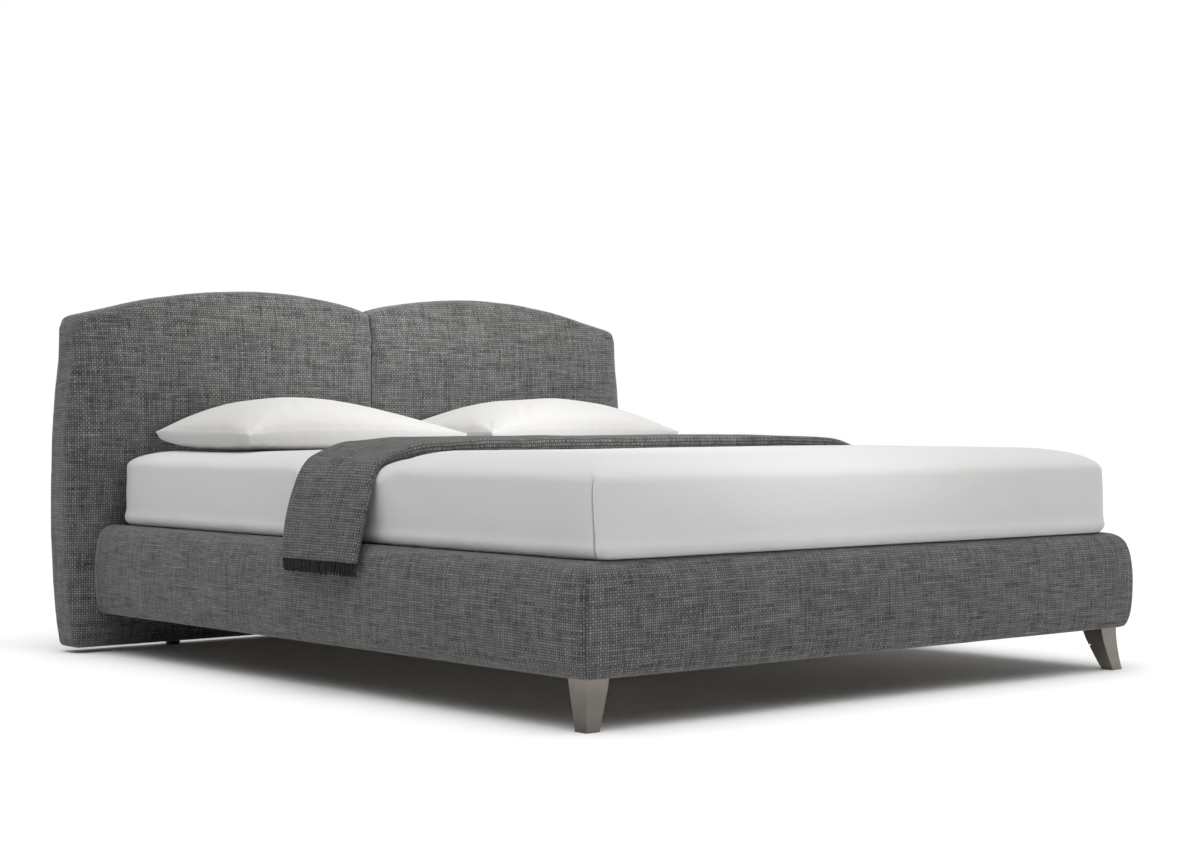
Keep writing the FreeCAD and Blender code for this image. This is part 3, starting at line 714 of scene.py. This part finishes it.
def under_throw(x, y, z):
    rx = np.array([q[0] for q in REST[:11]] + [862]) / 1000
    rz = np.array([q[1] for q in REST[:11]] + [492]) / 1000
    lim = np.interp(np.abs(x), rx, rz) - 0.0009
    f = np.interp(z, EDGES[:, 0], EDGES[:, 1])
    h = np.interp(z, EDGES[:, 0], EDGES[:, 2])
    w = smoothstep((y - (f - 0.110)) / 0.105) * smoothstep(((h + 0.050) - y) / 0.048)
    return z - w * np.clip(z - lim, 0, None)


def top_z(x, y):
    return under_throw(x, y, sheet_z(x, y))


def graded(near0, near1, length, big, fine=0.003, grow=1.22):
    """Fractions along a run, close together at the ends that ask for it."""
    a, b = [], []
    x = y = 0.0
    if near0:
        st = fine
        while st < big and x < length * 0.4:
            x += st
            a.append(x)
            st *= grow
    if near1:
        st = fine
        while st < big and y < length * 0.4:
            y += st
            b.append(length - y)
            st *= grow
    k = max(2, int((length - x - y) / big))
    mid = [x + (length - x - y) * (i + 1) / (k + 1) for i in range(k)]
    return [q / length for q in sorted(a + mid + b) if 0.001 < q < length - 0.001]


def corner_steps(fine):
    """Unit directions round a plan corner, from one side to the next."""
    run = np.concatenate([np.linspace(0, 0.72, 9 if fine else 5)[:-1],
                          np.linspace(0.72, 0.88, 46 if fine else 4)[:-1]])
    half = [((1 - t ** SQ) ** (1 / SQ), t) for t in run]
    ts = np.linspace(0.88, 0.5 ** (1 / SQ), 12 if fine else 5)
    half += [((1 - t ** SQ) ** (1 / SQ), t) for t in ts]
    other = [(b, a) for a, b in half[::-1][1:]]
    return half + other


def mattress_rows(hx, y0, y1, zb, zt, r_bot, tuck, big, rich):
    """Rings (reach, height) from the middle of the top over the shoulder, down and under."""
    rows = []
    steps = 22
    inner = hx - RUN
    k = int(inner / (big * 1.15))
    for i in range(k):
        rows.append(("in", 0.012 + (inner - 0.012) * i / k, zt))
    n = 20 if rich else 9
    for t in np.linspace(0, math.pi / 2, n):
        rows.append(("out", math.sin(t), zt - DROP * (1 - math.cos(t))))
    n = 24 if rich else 6
    for t in np.linspace(0, 1, n + 2)[1:-1]:
        rows.append(("out", 1.0, zt - DROP + t * (zb + r_bot - zt + DROP)))
    for t in np.linspace(0, math.pi / 2, 6):
        rows.append(("out", 1.0 - r_bot * (1 - math.cos(t)) / RUN, zb + r_bot * (1 - math.sin(t))))
    a = r_bot + 0.02
    while a < min(tuck, RUN):
        rows.append(("out", 1.0 - a / RUN, zb))
        a += 0.03
    if tuck > RUN:
        rows.append(("out", 0.0, zb))
        for i in range(4):
            rows.append(("in", inner * (1 - (i + 1) / 4.3), zb))
    sides = [graded(rich, False, 2 * inner, big), graded(False, False, y1 - y0 - 2 * RUN, big),
             graded(False, False, 2 * inner, big), graded(False, rich, y1 - y0 - 2 * RUN, big)]
    corners = [corner_steps(rich and i == 0) for i in range(4)]
    cy0, cy1 = y0 + RUN, y1 - RUN
    P = []
    for kind, v, z in rows:
        if kind == "in":
            sx = v
            half_y = (cy1 - cy0) / 2 - (inner - v)
            my = (cy0 + cy1) / 2
            cs = [(-sx, my - half_y), (sx, my - half_y), (sx, my + half_y), (-sx, my + half_y)]
            e = 0.0
        else:
            cs = [(-inner, cy0), (inner, cy0), (inner, cy1), (-inner, cy1)]
            e = v * RUN
        dirs = [((-1, 0), (0, -1)), ((0, -1), (1, 0)), ((1, 0), (0, 1)), ((0, 1), (-1, 0))]
        pts = []
        for i in range(4):
            da, db = np.array(dirs[i][0]), np.array(dirs[i][1])
            c = np.array(cs[i])
            for ca, cb in corners[i]:
                q = c + e * (ca * da + cb * db)
                pts.append((q[0], q[1], z))
            c2 = np.array(cs[(i + 1) % 4])
            p, q2 = c + e * db, c2 + e * db
            for f in sides[i]:
                v2 = p + (q2 - p) * f
                pts.append((v2[0], v2[1], z))
        P.append(pts)
    return np.array(P), rows, len(corners[0])


def bedding():
    lo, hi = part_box("mattress")
    hx, y0, y1, zb = half_sizes()
    big = 0.026
    # the mattress itself, whole and closed, a little inside its sheet
    g = 0.0085
    P, rows, _ = mattress_rows(hx - g, y0 + g, y1 - g, lo.z + 0.0012, SHEET_TOP - 0.014, 0.018, 9,
                               0.07, False)
    n, m, _ = P.shape
    faces = grid_faces(n, m, close_m=True)
    faces += [tuple(range(m))[::-1], tuple(range((n - 1) * m, n * m))]
    flat = P.reshape(-1, 3)
    uv = np.stack([flat[:, 0] + flat[:, 1] * 0.3, flat[:, 1] + flat[:, 2]], 1)
    up = flat[:, 2] > 0.46
    flat[up, 2] = np.minimum(flat[up, 2], top_z(flat[up, 0], flat[up, 1]) - 0.006)
    mat = add_mesh("mattress_body", flat, faces, uv)
    weld(mat)
    wear(mat, TICKING, "mattress_ticking")
    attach(mat, "mattress")
    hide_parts("mattress")

    # the fitted sheet: a thin shell pulled over it and tucked under
    P, rows, nc = mattress_rows(hx, y0, y1, zb, SHEET_TOP, 0.013, 0.110, big, True)
    n, m, _ = P.shape
    wall = [i for i, r in enumerate(rows) if r[0] == "out" and r[1] == 1.0][3]
    W = P[wall]
    tang = np.roll(W, -1, 0) - np.roll(W, 1, 0)
    out = np.stack([tang[:, 1], -tang[:, 0], tang[:, 2] * 0], 1)
    out /= np.linalg.norm(out, axis=1)[:, None]
    if (out * (W - [0, (y0 + y1) / 2, 0])).sum() < 0:
        out = -out
    seg = np.linalg.norm(np.roll(W, -1, 0) - W, axis=1)
    arc = np.concatenate([[0], np.cumsum(seg)[:-1]])
    total = seg.sum()
    c_mid = arc[nc // 2] + 0.0004                           # the near foot corner
    s = (arc - c_mid + total / 2) % total - total / 2       # + along the foot face
    Q = P.copy()
    zt = SHEET_TOP
    for i, (kind, v, z) in enumerate(rows):
        q = P[i]
        low_edge = zt - DROP
        if kind == "in" or (kind == "out" and v < 1e-6):
            side = 0.0 if z > 0.5 else 0.1
        elif z > low_edge - 1e-6:
            side = v ** 2
        elif z > zb + 0.004:
            side = 1.0
        else:
            side = 0.15
        up = z > low_edge - 1e-6
        p = q * [1, 1, 1.6]
        slack = 0.0019 * waves(p, 1.7, 41, 2) + 0.0006 * waves(p, 7.0, 42, 1)
        part = min(max((z - zb) / (low_edge - zb), 0), 1)
        belly = 0.0020 * math.sin(math.pi * part) ** 0.8
        roll = 0.0050 * math.exp(-((z - zb - 0.021) / 0.014) ** 2)
        d = (slack + belly - 0.0026 + roll) * side
        # the pleat: cloth folded over from the foot side, its edge just at the corner
        open_ = float(smoothstep(np.array((0.513 - z) / 0.014)))
        cut = -0.0165 + 0.0105 * min(max((0.509 - z) / (0.509 - zb), 0), 1)
        off = s - cut
        pleat = np.where(off >= 0, np.exp(-(np.abs(off) / 0.030) ** 1.4), 0.0) * 0.0034
        gap = -0.0080 * np.exp(-(off / 0.0017) ** 2) - 0.0012 * np.exp(-((off + 0.006) / 0.005) ** 2)
        d = d + (pleat + gap) * open_ * side
        # the pucker above it
        h = z - 0.510
        puck = np.exp(-((s - cut) / 0.0085) ** 2 - (h / 0.0125) ** 2)
        rim = np.exp(-((s - cut) / 0.014) ** 2 - ((h - 0.019) / 0.006) ** 2)
        d = d + (-0.0056 * puck + 0.0018 * rim) * min(1.0, side + 0.3)
        # pulled folds run away from the corner, low on the sides
        for ang, s0, wd, amp in ((0.55, 0.10, 0.010, 0.0010), (-0.50, -0.12, 0.011, -0.0009),
                                 (0.25, 0.26, 0.016, 0.0008)):
            line = s0 + ang * (z - zb)
            fadeout = float(smoothstep(np.array((0.09 - abs(z - zb - 0.05)) / 0.06)))
            d = d + amp * np.exp(-((s - line) / wd) ** 2) * fadeout * side
        Q[i] += out * d[:, None]
        if up:
            e = np.clip(plan_reach(q[:, 0], q[:, 1], hx, y0, y1), 0, 1)
            wav = 0.0011 * waves(q, 1.3, 77, 2) * (1 - e)
            Q[i, :, 2] = sheet_z(q[:, 0], q[:, 1]) + wav
        if z > 0.40:
            Q[i, :, 2] = under_throw(Q[i, :, 0], Q[i, :, 1], Q[i, :, 2])
    flat = Q.reshape(-1, 3)
    faces = grid_faces(n, m, close_m=True)
    faces.append(tuple(range(m))[::-1])
    uv = flat[:, :2] + np.stack([flat[:, 2] * 0, flat[:, 2]], 1)
    sh = add_mesh("fitted_sheet_cloth", flat, faces, uv)
    weld(sh, look_up=True)
    mod = sh.modifiers.new("cloth thickness", "SOLIDIFY")
    mod.thickness = 0.0006
    mod.offset = -1.0
    dg = bpy.context.evaluated_depsgraph_get()
    me = bpy.data.meshes.new_from_object(sh.evaluated_get(dg))
    sh.modifiers.clear()
    sh.data = me
    me.polygons.foreach_set("use_smooth", [True] * len(me.polygons))
    wear(sh, SHEET, "sheet_cotton")
    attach(sh, "mattress")
    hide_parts("fitted_sheet")
    return mat, sh


def weld(o, look_up=False):
    bm = bmesh.new()
    bm.from_mesh(o.data)
    bmesh.ops.remove_doubles(bm, verts=bm.verts, dist=1e-6)
    bmesh.ops.recalc_face_normals(bm, faces=bm.faces)
    if look_up and sum(f.normal.z * f.calc_area() for f in bm.faces) < 0:
        bmesh.ops.reverse_faces(bm, faces=bm.faces)
    bm.to_mesh(o.data)
    bm.free()
    o.data.update()


mattress, sheet = bedding()


# --------------------------------------------------------------------- pillows
def make_pillow(name, node, seed, body, x0, x1, lean):
    """A filled cotton case: crowned above the seam, resting flat below it."""
    lo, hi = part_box(node)
    nx, ny = ((132, 92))
    y0, y1 = lo.y, hi.y
    cx, cy = (x0 + x1) / 2, (y0 + y1) / 2
    a, b = (x1 - x0) / 2, (y1 - y0) / 2
    seam, rise, fall = 0.6005, 0.0920, 0.0520
    su = np.sin(np.linspace(-1, 1, nx + 1) * math.pi / 2)
    sv = np.sin(np.linspace(-1, 1, ny + 1) * math.pi / 2)
    su = np.sign(su) * (0.55 * np.abs(su) + 0.45 * np.abs(np.linspace(-1, 1, nx + 1)))
    sv = np.sign(sv) * (0.55 * np.abs(sv) + 0.45 * np.abs(np.linspace(-1, 1, ny + 1)))
    U, Vv = np.meshgrid(su, sv, indexing="ij")
    u, v = U.ravel(), Vv.ravel()
    r = np.random.default_rng(seed)

    def layer(top):
        # sides drawn in between the corners
        ax = a * (1 - 0.045 * (1 - v ** 2))
        by = b * (1 - 0.060 * (1 - u ** 2))
        x, y = cx + u * ax, cy + v * by
        uw = u + lean * (1 - u ** 2)
        fu, fv = 1 - np.abs(uw) ** 2.3, 1 - np.abs(v) ** 2.5
        body_ = np.clip(fu, 0, 1) ** 0.60 * np.clip(fv, 0, 1) ** 0.56
        du, dv = (1 - np.abs(u)) * a, (1 - np.abs(v)) * b
        dist = np.minimum(du, dv)
        # the sewn edge stands out as a thin lip
        lip = 1 - 0.7 * np.exp(-(dist / 0.0042) ** 2)
        s_z = seam + 0.0040 * (1 - u ** 2) * (1 - 0.4 * v) + 0.006 * smoothstep((v - 0.3) / 0.7) * u ** 2
        s_z = s_z - 0.0020 * np.abs(u) ** 6 * np.abs(v) ** 6
        if top:
            z = s_z + lip * rise * body_ * (1 - 0.05 * v) * (1 + 0.02 * waves(np.stack([x, y, x * 0], 1), 3.0, seed + 1, 1))
        else:
            full = np.clip(1 - np.abs(u) ** 3, 0, 1) ** 0.17 * np.clip(1 - np.abs(v) ** 3, 0, 1) ** 0.17
            z = s_z - lip * fall * full
        p = np.stack([x, y, z], 1)
        along = np.where(du < dv, y, x)
        # small puckers where the cloth is sewn
        puck = waves(np.stack([along * 1.0, dist * 0.25 + 3.0 * (du < dv), along * 0], 1), 26.0, seed + 7, 1)
        mask = np.exp(-dist / 0.016) * smoothstep(dist / 0.004)
        z = z + (0.0016 if top else -0.0012) * puck * mask
        # soft folds that run in from the corners
        for k, (sx, sy) in enumerate(((-1, -1), (1, -1), (-1, 1), (1, 1))):
            qx, qy = (x - (cx + sx * a)) * -sx, (y - (cy + sy * b)) * -sy
            rad = np.hypot(qx, qy) + 1e-6
            th = np.arctan2(qy, qx)
            fold = np.cos(th * (7 + k) + r.random() * 3) + 0.6 * np.cos(th * (13 + k) + r.random() * 6)
            z = z + (1 if top else -0.6) * 0.0012 * fold * np.exp(-((rad - 0.075) / 0.060) ** 2) * smoothstep(dist / 0.012)
        # slack folds near the front seam
        if top:
            for fx, fy, ang, wd, ln, amp in ((-0.62, -0.80, 1.05, 0.010, 0.055, 0.0034),
                                             (-0.53, -0.76, 0.95, 0.011, 0.065, -0.0030),
                                             (-0.44, -0.80, 1.15, 0.010, 0.050, 0.0026),
                                             (0.30, -0.72, 1.9, 0.012, 0.060, 0.0022),
                                             (0.52, -0.62, 2.2, 0.014, 0.080, -0.0022),
                                             (0.78, -0.15, 0.3, 0.014, 0.070, 0.0020)):
                ox, oy = x - (cx + fx * a), y - (cy + fy * b)
                along_f = ox * math.cos(ang) + oy * math.sin(ang)
                side_f = -ox * math.sin(ang) + oy * math.cos(ang)
                z = z + amp * np.exp(-(side_f / wd) ** 2 - (along_f / ln) ** 2)
        broad = 0.0026 * waves(p, 4.2, seed + 3, 2) * body_
        z = z + (broad if top else broad * 0.3)
        # the case rests on the bed
        if not top:
            rest = top_z(x, y) + 0.0012
            gap = z - rest
            z = rest + np.where(gap > 0.006, gap, 0.006 * np.exp((gap - 0.006) / 0.006))
            z = np.maximum(z, rest + 0.0002)
            # keep the rim itself where the seam is
            w = smoothstep(dist / 0.005)
            z = w * z + (1 - w) * np.maximum(p[:, 2], rest)
        # corners end in small soft points
        tip = np.exp(-((1 - np.abs(u)) ** 2 + (1 - np.abs(v)) ** 2) / 0.0016)
        x = x + np.sign(u) * 0.004 * tip
        y = y + np.sign(v) * 0.003 * tip
        return np.stack([x, y, z], 1)

    top, bot = layer(True), layer(False)
    rim = (np.abs(np.abs(u) - 1) < 1e-9) | (np.abs(np.abs(v) - 1) < 1e-9)
    bot[rim] = top[rim]
    N = len(top)
    verts = np.vstack([top, bot])
    faces = grid_faces(nx + 1, ny + 1)
    faces += [tuple(N + i for i in f[::-1]) for f in grid_faces(nx + 1, ny + 1)]
    uv = np.vstack([top[:, :2], bot[:, :2]])
    o = add_mesh(name, verts, faces, uv)
    weld(o)
    wear(o, LINEN, "pillow_cotton")
    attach(o, body)
    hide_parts(node)
    return o


pillows = [make_pillow("left_pillow_body", "left_pillow", 5, "left_pillow", -0.780, -0.075, 0.32),
           make_pillow("right_pillow_body", "right_pillow", 9, "right_pillow", 0.018, 0.723, 0.05)]


# ----------------------------------------------------------------------- throw
def throw_base():
    half = catmull(REST, 7.0)
    half = np.array(half) / 1000
    full = np.vstack([half[::-1] * [-1, 1], half[1:]])
    return full


def make_throw():
    lo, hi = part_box("throw")
    base = throw_base()
    al = arc_lengths(base)
    total = al[-1]
    # smooth direction along the path
    d = np.gradient(base, axis=0)
    d /= np.linalg.norm(d, axis=1)[:, None]
    nrm = np.stack([-d[:, 1], d[:, 0]], 1)
    nrm[nrm[:, 1] < -0.2] *= 1
    # the stack: one cloth folded in four, wide fold towards the foot
    y0, y1 = THROW_Y
    t = 0.0068                     # thickness of one layer
    pitch = 0.0076
    hs = [0.0036 + pitch * k for k in range(4)]
    ctr = []

    def line(ya, yb, h, n):
        for k in range(n):
            ctr.append((ya + (yb - ya) * k / (n - 1), h))

    def turn(y, ha, hb, side, n):
        r = abs(hb - ha) / 2
        hm = (ha + hb) / 2
        for k in range(1, n):
            a = -math.pi / 2 + math.pi * k / n if hb > ha else math.pi / 2 - math.pi * k / n
            ctr.append((y + side * r * math.cos(a) * 0.95, hm + r * math.sin(a)))

    R = 1.5 * pitch
    nl = 16
    line(y1 - 0.010, y0 + R + 0.001, hs[0], nl)
    turn(y0 + R, hs[0], hs[3], -1, 10)
    line(y0 + R + 0.001, y1 - 0.005, hs[3], nl)
    turn(y1 - 0.005, hs[3], hs[2], 1, 6)
    line(y1 - 0.006, y0 + R + 0.004, hs[2], nl)
    turn(y0 + R + 0.004, hs[2], hs[1], -1, 6)
    line(y0 + R + 0.005, y1 - 0.016, hs[1], nl)
    C = np.array(ctr)
    T = np.gradient(C, axis=0)
    T /= np.linalg.norm(T, axis=1)[:, None]
    N = np.stack([-T[:, 1], T[:, 0]], 1)
    A = C + N * t / 2
    B = C - N * t / 2
    m = len(C)
    sec = np.vstack([A, B[::-1]])
    sl = arc_lengths(C)
    su = np.concatenate([sl, sl[::-1]])
    n = len(base)
    verts = np.zeros((n, 2 * m, 3))
    uvs = np.zeros((n, 2 * m, 2))
    # hanging ends swing towards the foot
    soft = np.array([1, 2, 3, 2, 1]) / 9.0
    e_foot = np.interp(base[:, 1], EDGES[:, 0], EDGES[:, 1])
    e_head = np.interp(base[:, 1], EDGES[:, 0], EDGES[:, 2])
    for _ in range(3):
        e_foot[2:-2] = np.convolve(e_foot, soft, "valid")
        e_head[2:-2] = np.convolve(e_head, soft, "valid")
    for i in range(n):
        x, z = base[i]
        nx, nz = nrm[i]
        h = sec[:, 1].copy()
        y = sec[:, 0].copy()
        hang = np.clip((0.590 - z) / (0.590 - 0.312), 0, 1)
        # the stack closes up a little where it bends, and loosens towards its end
        bend = smoothstep((abs(x) - 0.70) / 0.12)
        squeeze = 1.08 - 0.46 * bend - 0.02 * hang
        h = h * squeeze
        wob = (0.0045 * math.sin(al[i] * 7.0 + 0.6) + 0.003 * math.sin(al[i] * 17.0 + 2.0)) * (0.3 + 0.7 * hang)
        edge_in = 0.004 * math.sin(al[i] * 5.0)
        across = (y - (y0 + y1) / 2) / ((y1 - y0) / 2)
        top = sec[:, 1] / sec[:, 1].max()
        yy = (e_foot[i] + (y - y0) / (y1 - y0) * (e_head[i] - e_foot[i])
              + wob * 0.6 + edge_in * across)
        # slow waves over the width, more on the hang
        s3 = np.stack([np.full(2 * m, al[i]), y, y * 0], 1)
        wv = (0.0028 * waves(s3 * [0.7, 1, 1], 3.0, 61, 2) * (0.35 + 0.65 * hang)
              + 0.0012 * waves(s3, 9.0, 63, 1)) * np.clip(top, 0, 1) ** 0.6
        # a soft diagonal fold down the hang
        dia = hang * (across - (0.55 - 1.05 * hang))
        wv += 0.0048 * np.exp(-((across - (0.42 - 0.95 * hang)) / 0.13) ** 2) * smoothstep(np.array(hang / 0.25)) * top
        hh = np.maximum(h + wv, sec[:, 1] * 0.42)
        verts[i, :, 0] = x + nx * hh
        verts[i, :, 1] = yy
        verts[i, :, 2] = z + nz * hh
        uvs[i, :, 0] = su
        uvs[i, :, 1] = al[i]
    flat = verts.reshape(-1, 3)
    k = 2 * m
    faces = grid_faces(n, k, close_m=True)
    # end caps, one strip between the two sides of the cloth
    for row, flip in ((0, False), (n - 1, True)):
        b0 = row * k
        for j in range(m - 1):
            q = (b0 + j, b0 + j + 1, b0 + k - 2 - j, b0 + k - 1 - j)
            faces.append(q if flip else q[::-1])
    uv = uvs.reshape(-1, 2)
    o = add_mesh("throw_cloth", flat, faces, uv)
    face_out(o)
    wear(o, WOOL, "throw_wool")
    return o, verts, C, m


throw, TV, TC, TM = make_throw()


def make_fringe(name, node, right):
    """Knotted yarn ends hang from the last row of every layer."""
    r = np.random.default_rng(31 if right else 32)
    row = TV[-1 if right else 0]
    prev = TV[-3 if right else 2]
    k = 2 * TM
    mid = (row[:TM] + row[::-1][:TM]) / 2
    up = (prev[:TM] + prev[::-1][:TM]) / 2
    seg = arc_lengths(mid)
    pitch = 0.0088
    verts, faces, uvs = [], [], []
    n = int(seg[-1] / pitch)
    for i in range(n):
        s = (i + 0.5) * seg[-1] / n
        p = np.array([np.interp(s, seg, mid[:, c]) for c in range(3)])
        q = np.array([np.interp(s, seg, up[:, c]) for c in range(3)])
        down = p - q
        down /= np.linalg.norm(down)
        g = np.array([0, 0, -1.0])
        ln = 0.028 * (1 + 0.07 * r.normal())
        sway = r.normal(size=3) * [0.06, 0.10, 0] + [0, -0.12 - 0.30 * (i < 10), 0]
        rad = 0.0022 * (1 + 0.08 * r.normal())
        steps = 6
        rings = 6
        pts = []
        pos = p - down * 0.006
        dirn = down.copy()
        for a in range(steps + 1):
            pts.append(pos.copy())
            f = a / steps
            dirn = dirn * (1 - 0.35 * f) + (g + sway) * 0.35 * f + r.normal(size=3) * 0.035
            dirn /= np.linalg.norm(dirn)
            pos = pos + dirn * (ln + 0.006) / steps
        base = len(verts)
        tw = r.random() * 6.28
        for a, c in enumerate(pts):
            f = a / steps
            rr = rad * (1.0 if a < steps else 0.55) * (1 + 0.10 * math.sin(a * 2.1 + tw))
            t1 = np.cross(g, [1, 0, 0])
            e1 = np.array([1.0, 0, 0])
            e2 = np.array([0, 1.0, 0])
            for b in range(rings):
                an = b / rings * 2 * math.pi + tw
                verts.append(c + e1 * rr * math.cos(an) + e2 * rr * math.sin(an))
                uvs.append((b / rings * 0.012 + i * 0.013, f * ln))
        for a in range(steps):
            for b in range(rings):
                c1 = base + a * rings + b
                c2 = base + a * rings + (b + 1) % rings
                faces.append((c1, c2, c2 + rings, c1 + rings))
        faces.append(tuple(base + b for b in range(rings))[::-1])
        faces.append(tuple(base + steps * rings + b for b in range(rings)))
    V = np.array(verts)
    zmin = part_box(node)[0].z
    V[:, 2] = np.maximum(V[:, 2], zmin - 0.004)
    o = add_mesh(name, V, faces, np.array(uvs))
    face_out(o)
    wear(o, YARN, "throw_wool")
    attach(o, "throw")
    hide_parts(node)
    return o


fringes = [make_fringe("left_throw_fringe_yarn", "left_throw_fringe", False),
           make_fringe("right_throw_fringe_yarn", "right_throw_fringe", True)]
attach(throw, "throw")
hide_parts("throw")

# -------------------------------------------------- finishes of the frame's parts
slots = {}
for part in frame["record"]["subparts"]:
    slots[part["node"]] = part["material_slot"]
for nname, o in frame["nodes"].items():
    if o.hide_render:
        continue
    s = slots.get(nname)
    if s is None:
        raise RuntimeError("no finish for " + nname)
    o.data.materials.clear()
    o.data.materials.append(FINISH[s])
    if s == "dust_cover":
        co = np.array([v.co for v in o.data.vertices])
        if not o.data.uv_layers or "weave" not in o.data.uv_layers:
            set_weave(o.data, co[:, [0, 2]])
    if "leg" in nname and s == "leg_metal":
        b = o.modifiers.new("edge", "BEVEL")
        b.width = 0.0012
        b.segments = 3
        b.limit_method = "ANGLE"
        b.angle_limit = math.radians(50)
        b.harden_normals = False

# ------------------------------------------------------------ stage and lights
bpy.ops.mesh.primitive_plane_add(size=70, location=(0, 0, 0))
floor = bpy.context.object
floor.name = "floor"
fm = Mat("floor_pale")
fm_c = fm.mix(fm.noise(fm.here(), 0.8, 2.0), (0.955, 0.955, 0.955), (0.965, 0.965, 0.965))
floor.data.materials.append(fm.finish(fm_c, 0.9, Specular_IOR_Level=0.0))
floor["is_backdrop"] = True

world = bpy.data.worlds.new("studio")
SC.world = world
world.use_nodes = True
wt = world.node_tree
wt.nodes.clear()
wo = wt.nodes.new("ShaderNodeOutputWorld")
geo = wt.nodes.new("ShaderNodeTexCoord")
sep = wt.nodes.new("ShaderNodeSeparateXYZ")
wt.links.new(geo.outputs["Generated"], sep.inputs[0])
def wmath(op, x, y):
    n = wt.nodes.new("ShaderNodeMath")
    n.operation = op
    for i, v in enumerate((x, y)):
        if isinstance(v, bpy.types.NodeSocket):
            wt.links.new(v, n.inputs[i])
        else:
            n.inputs[i].default_value = v
    return n.outputs[0]


# a dim horizon, a bright soft ceiling a little to the left and behind the viewer
AXIS = Vector((-0.12, -0.12, 0.98)).normalized()
dot = wmath("ADD", wmath("ADD", wmath("MULTIPLY", sep.outputs[0], AXIS.x),
                         wmath("MULTIPLY", sep.outputs[1], AXIS.y)),
            wmath("MULTIPLY", sep.outputs[2], AXIS.z))
dot = wmath("MAXIMUM", dot, 0.0)
sky = wmath("ADD", 0.03, wmath("MULTIPLY", wmath("MAXIMUM", sep.outputs[2], 0.0), 0.10))
sky = wmath("ADD", sky, wmath("MULTIPLY", wmath("POWER", dot, 6.0), 3.6))
# and a low glow from the far right
glow = wmath("MAXIMUM", wmath("ADD", wmath("MULTIPLY", sep.outputs[0], 0.90),
                              wmath("MULTIPLY", sep.outputs[1], 0.42)), 0.0)
level = wmath("POWER", wmath("SUBTRACT", 1.0, wmath("MAXIMUM", sep.outputs[2], 0.0)), 3.0)
sky = wmath("ADD", sky, wmath("MULTIPLY", wmath("MULTIPLY", wmath("POWER", glow, 2.0), level), 4.4))
sky = wmath("ADD", sky, wmath("MULTIPLY", level, 0.16))
bg = wt.nodes.new("ShaderNodeBackground")
bg.inputs["Color"].default_value = (1, 1, 1, 1)
wt.links.new(sky, bg.inputs["Strength"])
seen = wt.nodes.new("ShaderNodeBackground")
seen.inputs["Color"].default_value = (1, 1, 1, 1)
seen.inputs["Strength"].default_value = 1.0
lp = wt.nodes.new("ShaderNodeLightPath")
mixs = wt.nodes.new("ShaderNodeMixShader")
wt.links.new(lp.outputs["Is Camera Ray"], mixs.inputs[0])
wt.links.new(bg.outputs[0], mixs.inputs[1])
wt.links.new(seen.outputs[0], mixs.inputs[2])
wt.links.new(mixs.outputs[0], wo.inputs[0])


def area(name, loc, target, size, power):
    l = bpy.data.lights.new(name, "AREA")
    l.shape = "RECTANGLE"
    l.size, l.size_y = size
    l.energy = power
    o = bpy.data.objects.new(name, l)
    o.location = loc
    o.rotation_euler = (Vector(target) - Vector(loc)).to_track_quat("-Z", "Y").to_euler()
    SC.collection.objects.link(o)
    return o


area("overhead", (-0.2, -0.6, 3.6), (0, 0.0, 0.3), (2.4, 2.4), 16)

def soft_spot(name, loc, target, angle, radius, power):
    l = bpy.data.lights.new(name, "SPOT")
    l.spot_size = math.radians(angle)
    l.spot_blend = 1.0
    l.shadow_soft_size = radius
    l.energy = power
    o = bpy.data.objects.new(name, l)
    o.location = loc
    o.rotation_euler = (Vector(target) - Vector(loc)).to_track_quat("-Z", "Y").to_euler()
    SC.collection.objects.link(o)
    return o


soft_spot("headboard_fill", (-0.6, -3.6, 1.35), (0.12, 0.95, 1.27), 31, 0.45, 840)

cam_data = bpy.data.cameras.new("camera")
cam_data.lens = 68.455
cam_data.sensor_width = 36
cam_data.shift_x = 0.00507
cam_data.shift_y = -0.01626
cam = bpy.data.objects.new("camera", cam_data)
cam.location = (-3.8703, -4.5719, 0.6555)
cam.rotation_euler = (math.radians(90), 0, math.radians(-40.2925))
SC.collection.objects.link(cam)
SC.camera = cam


def plain(b):
    try:
        return [[float(x) for x in v] for v in b]
    except TypeError:
        return [float(x) for x in b]


{"cad": plain(first_bounds), "visual": plain(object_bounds())}
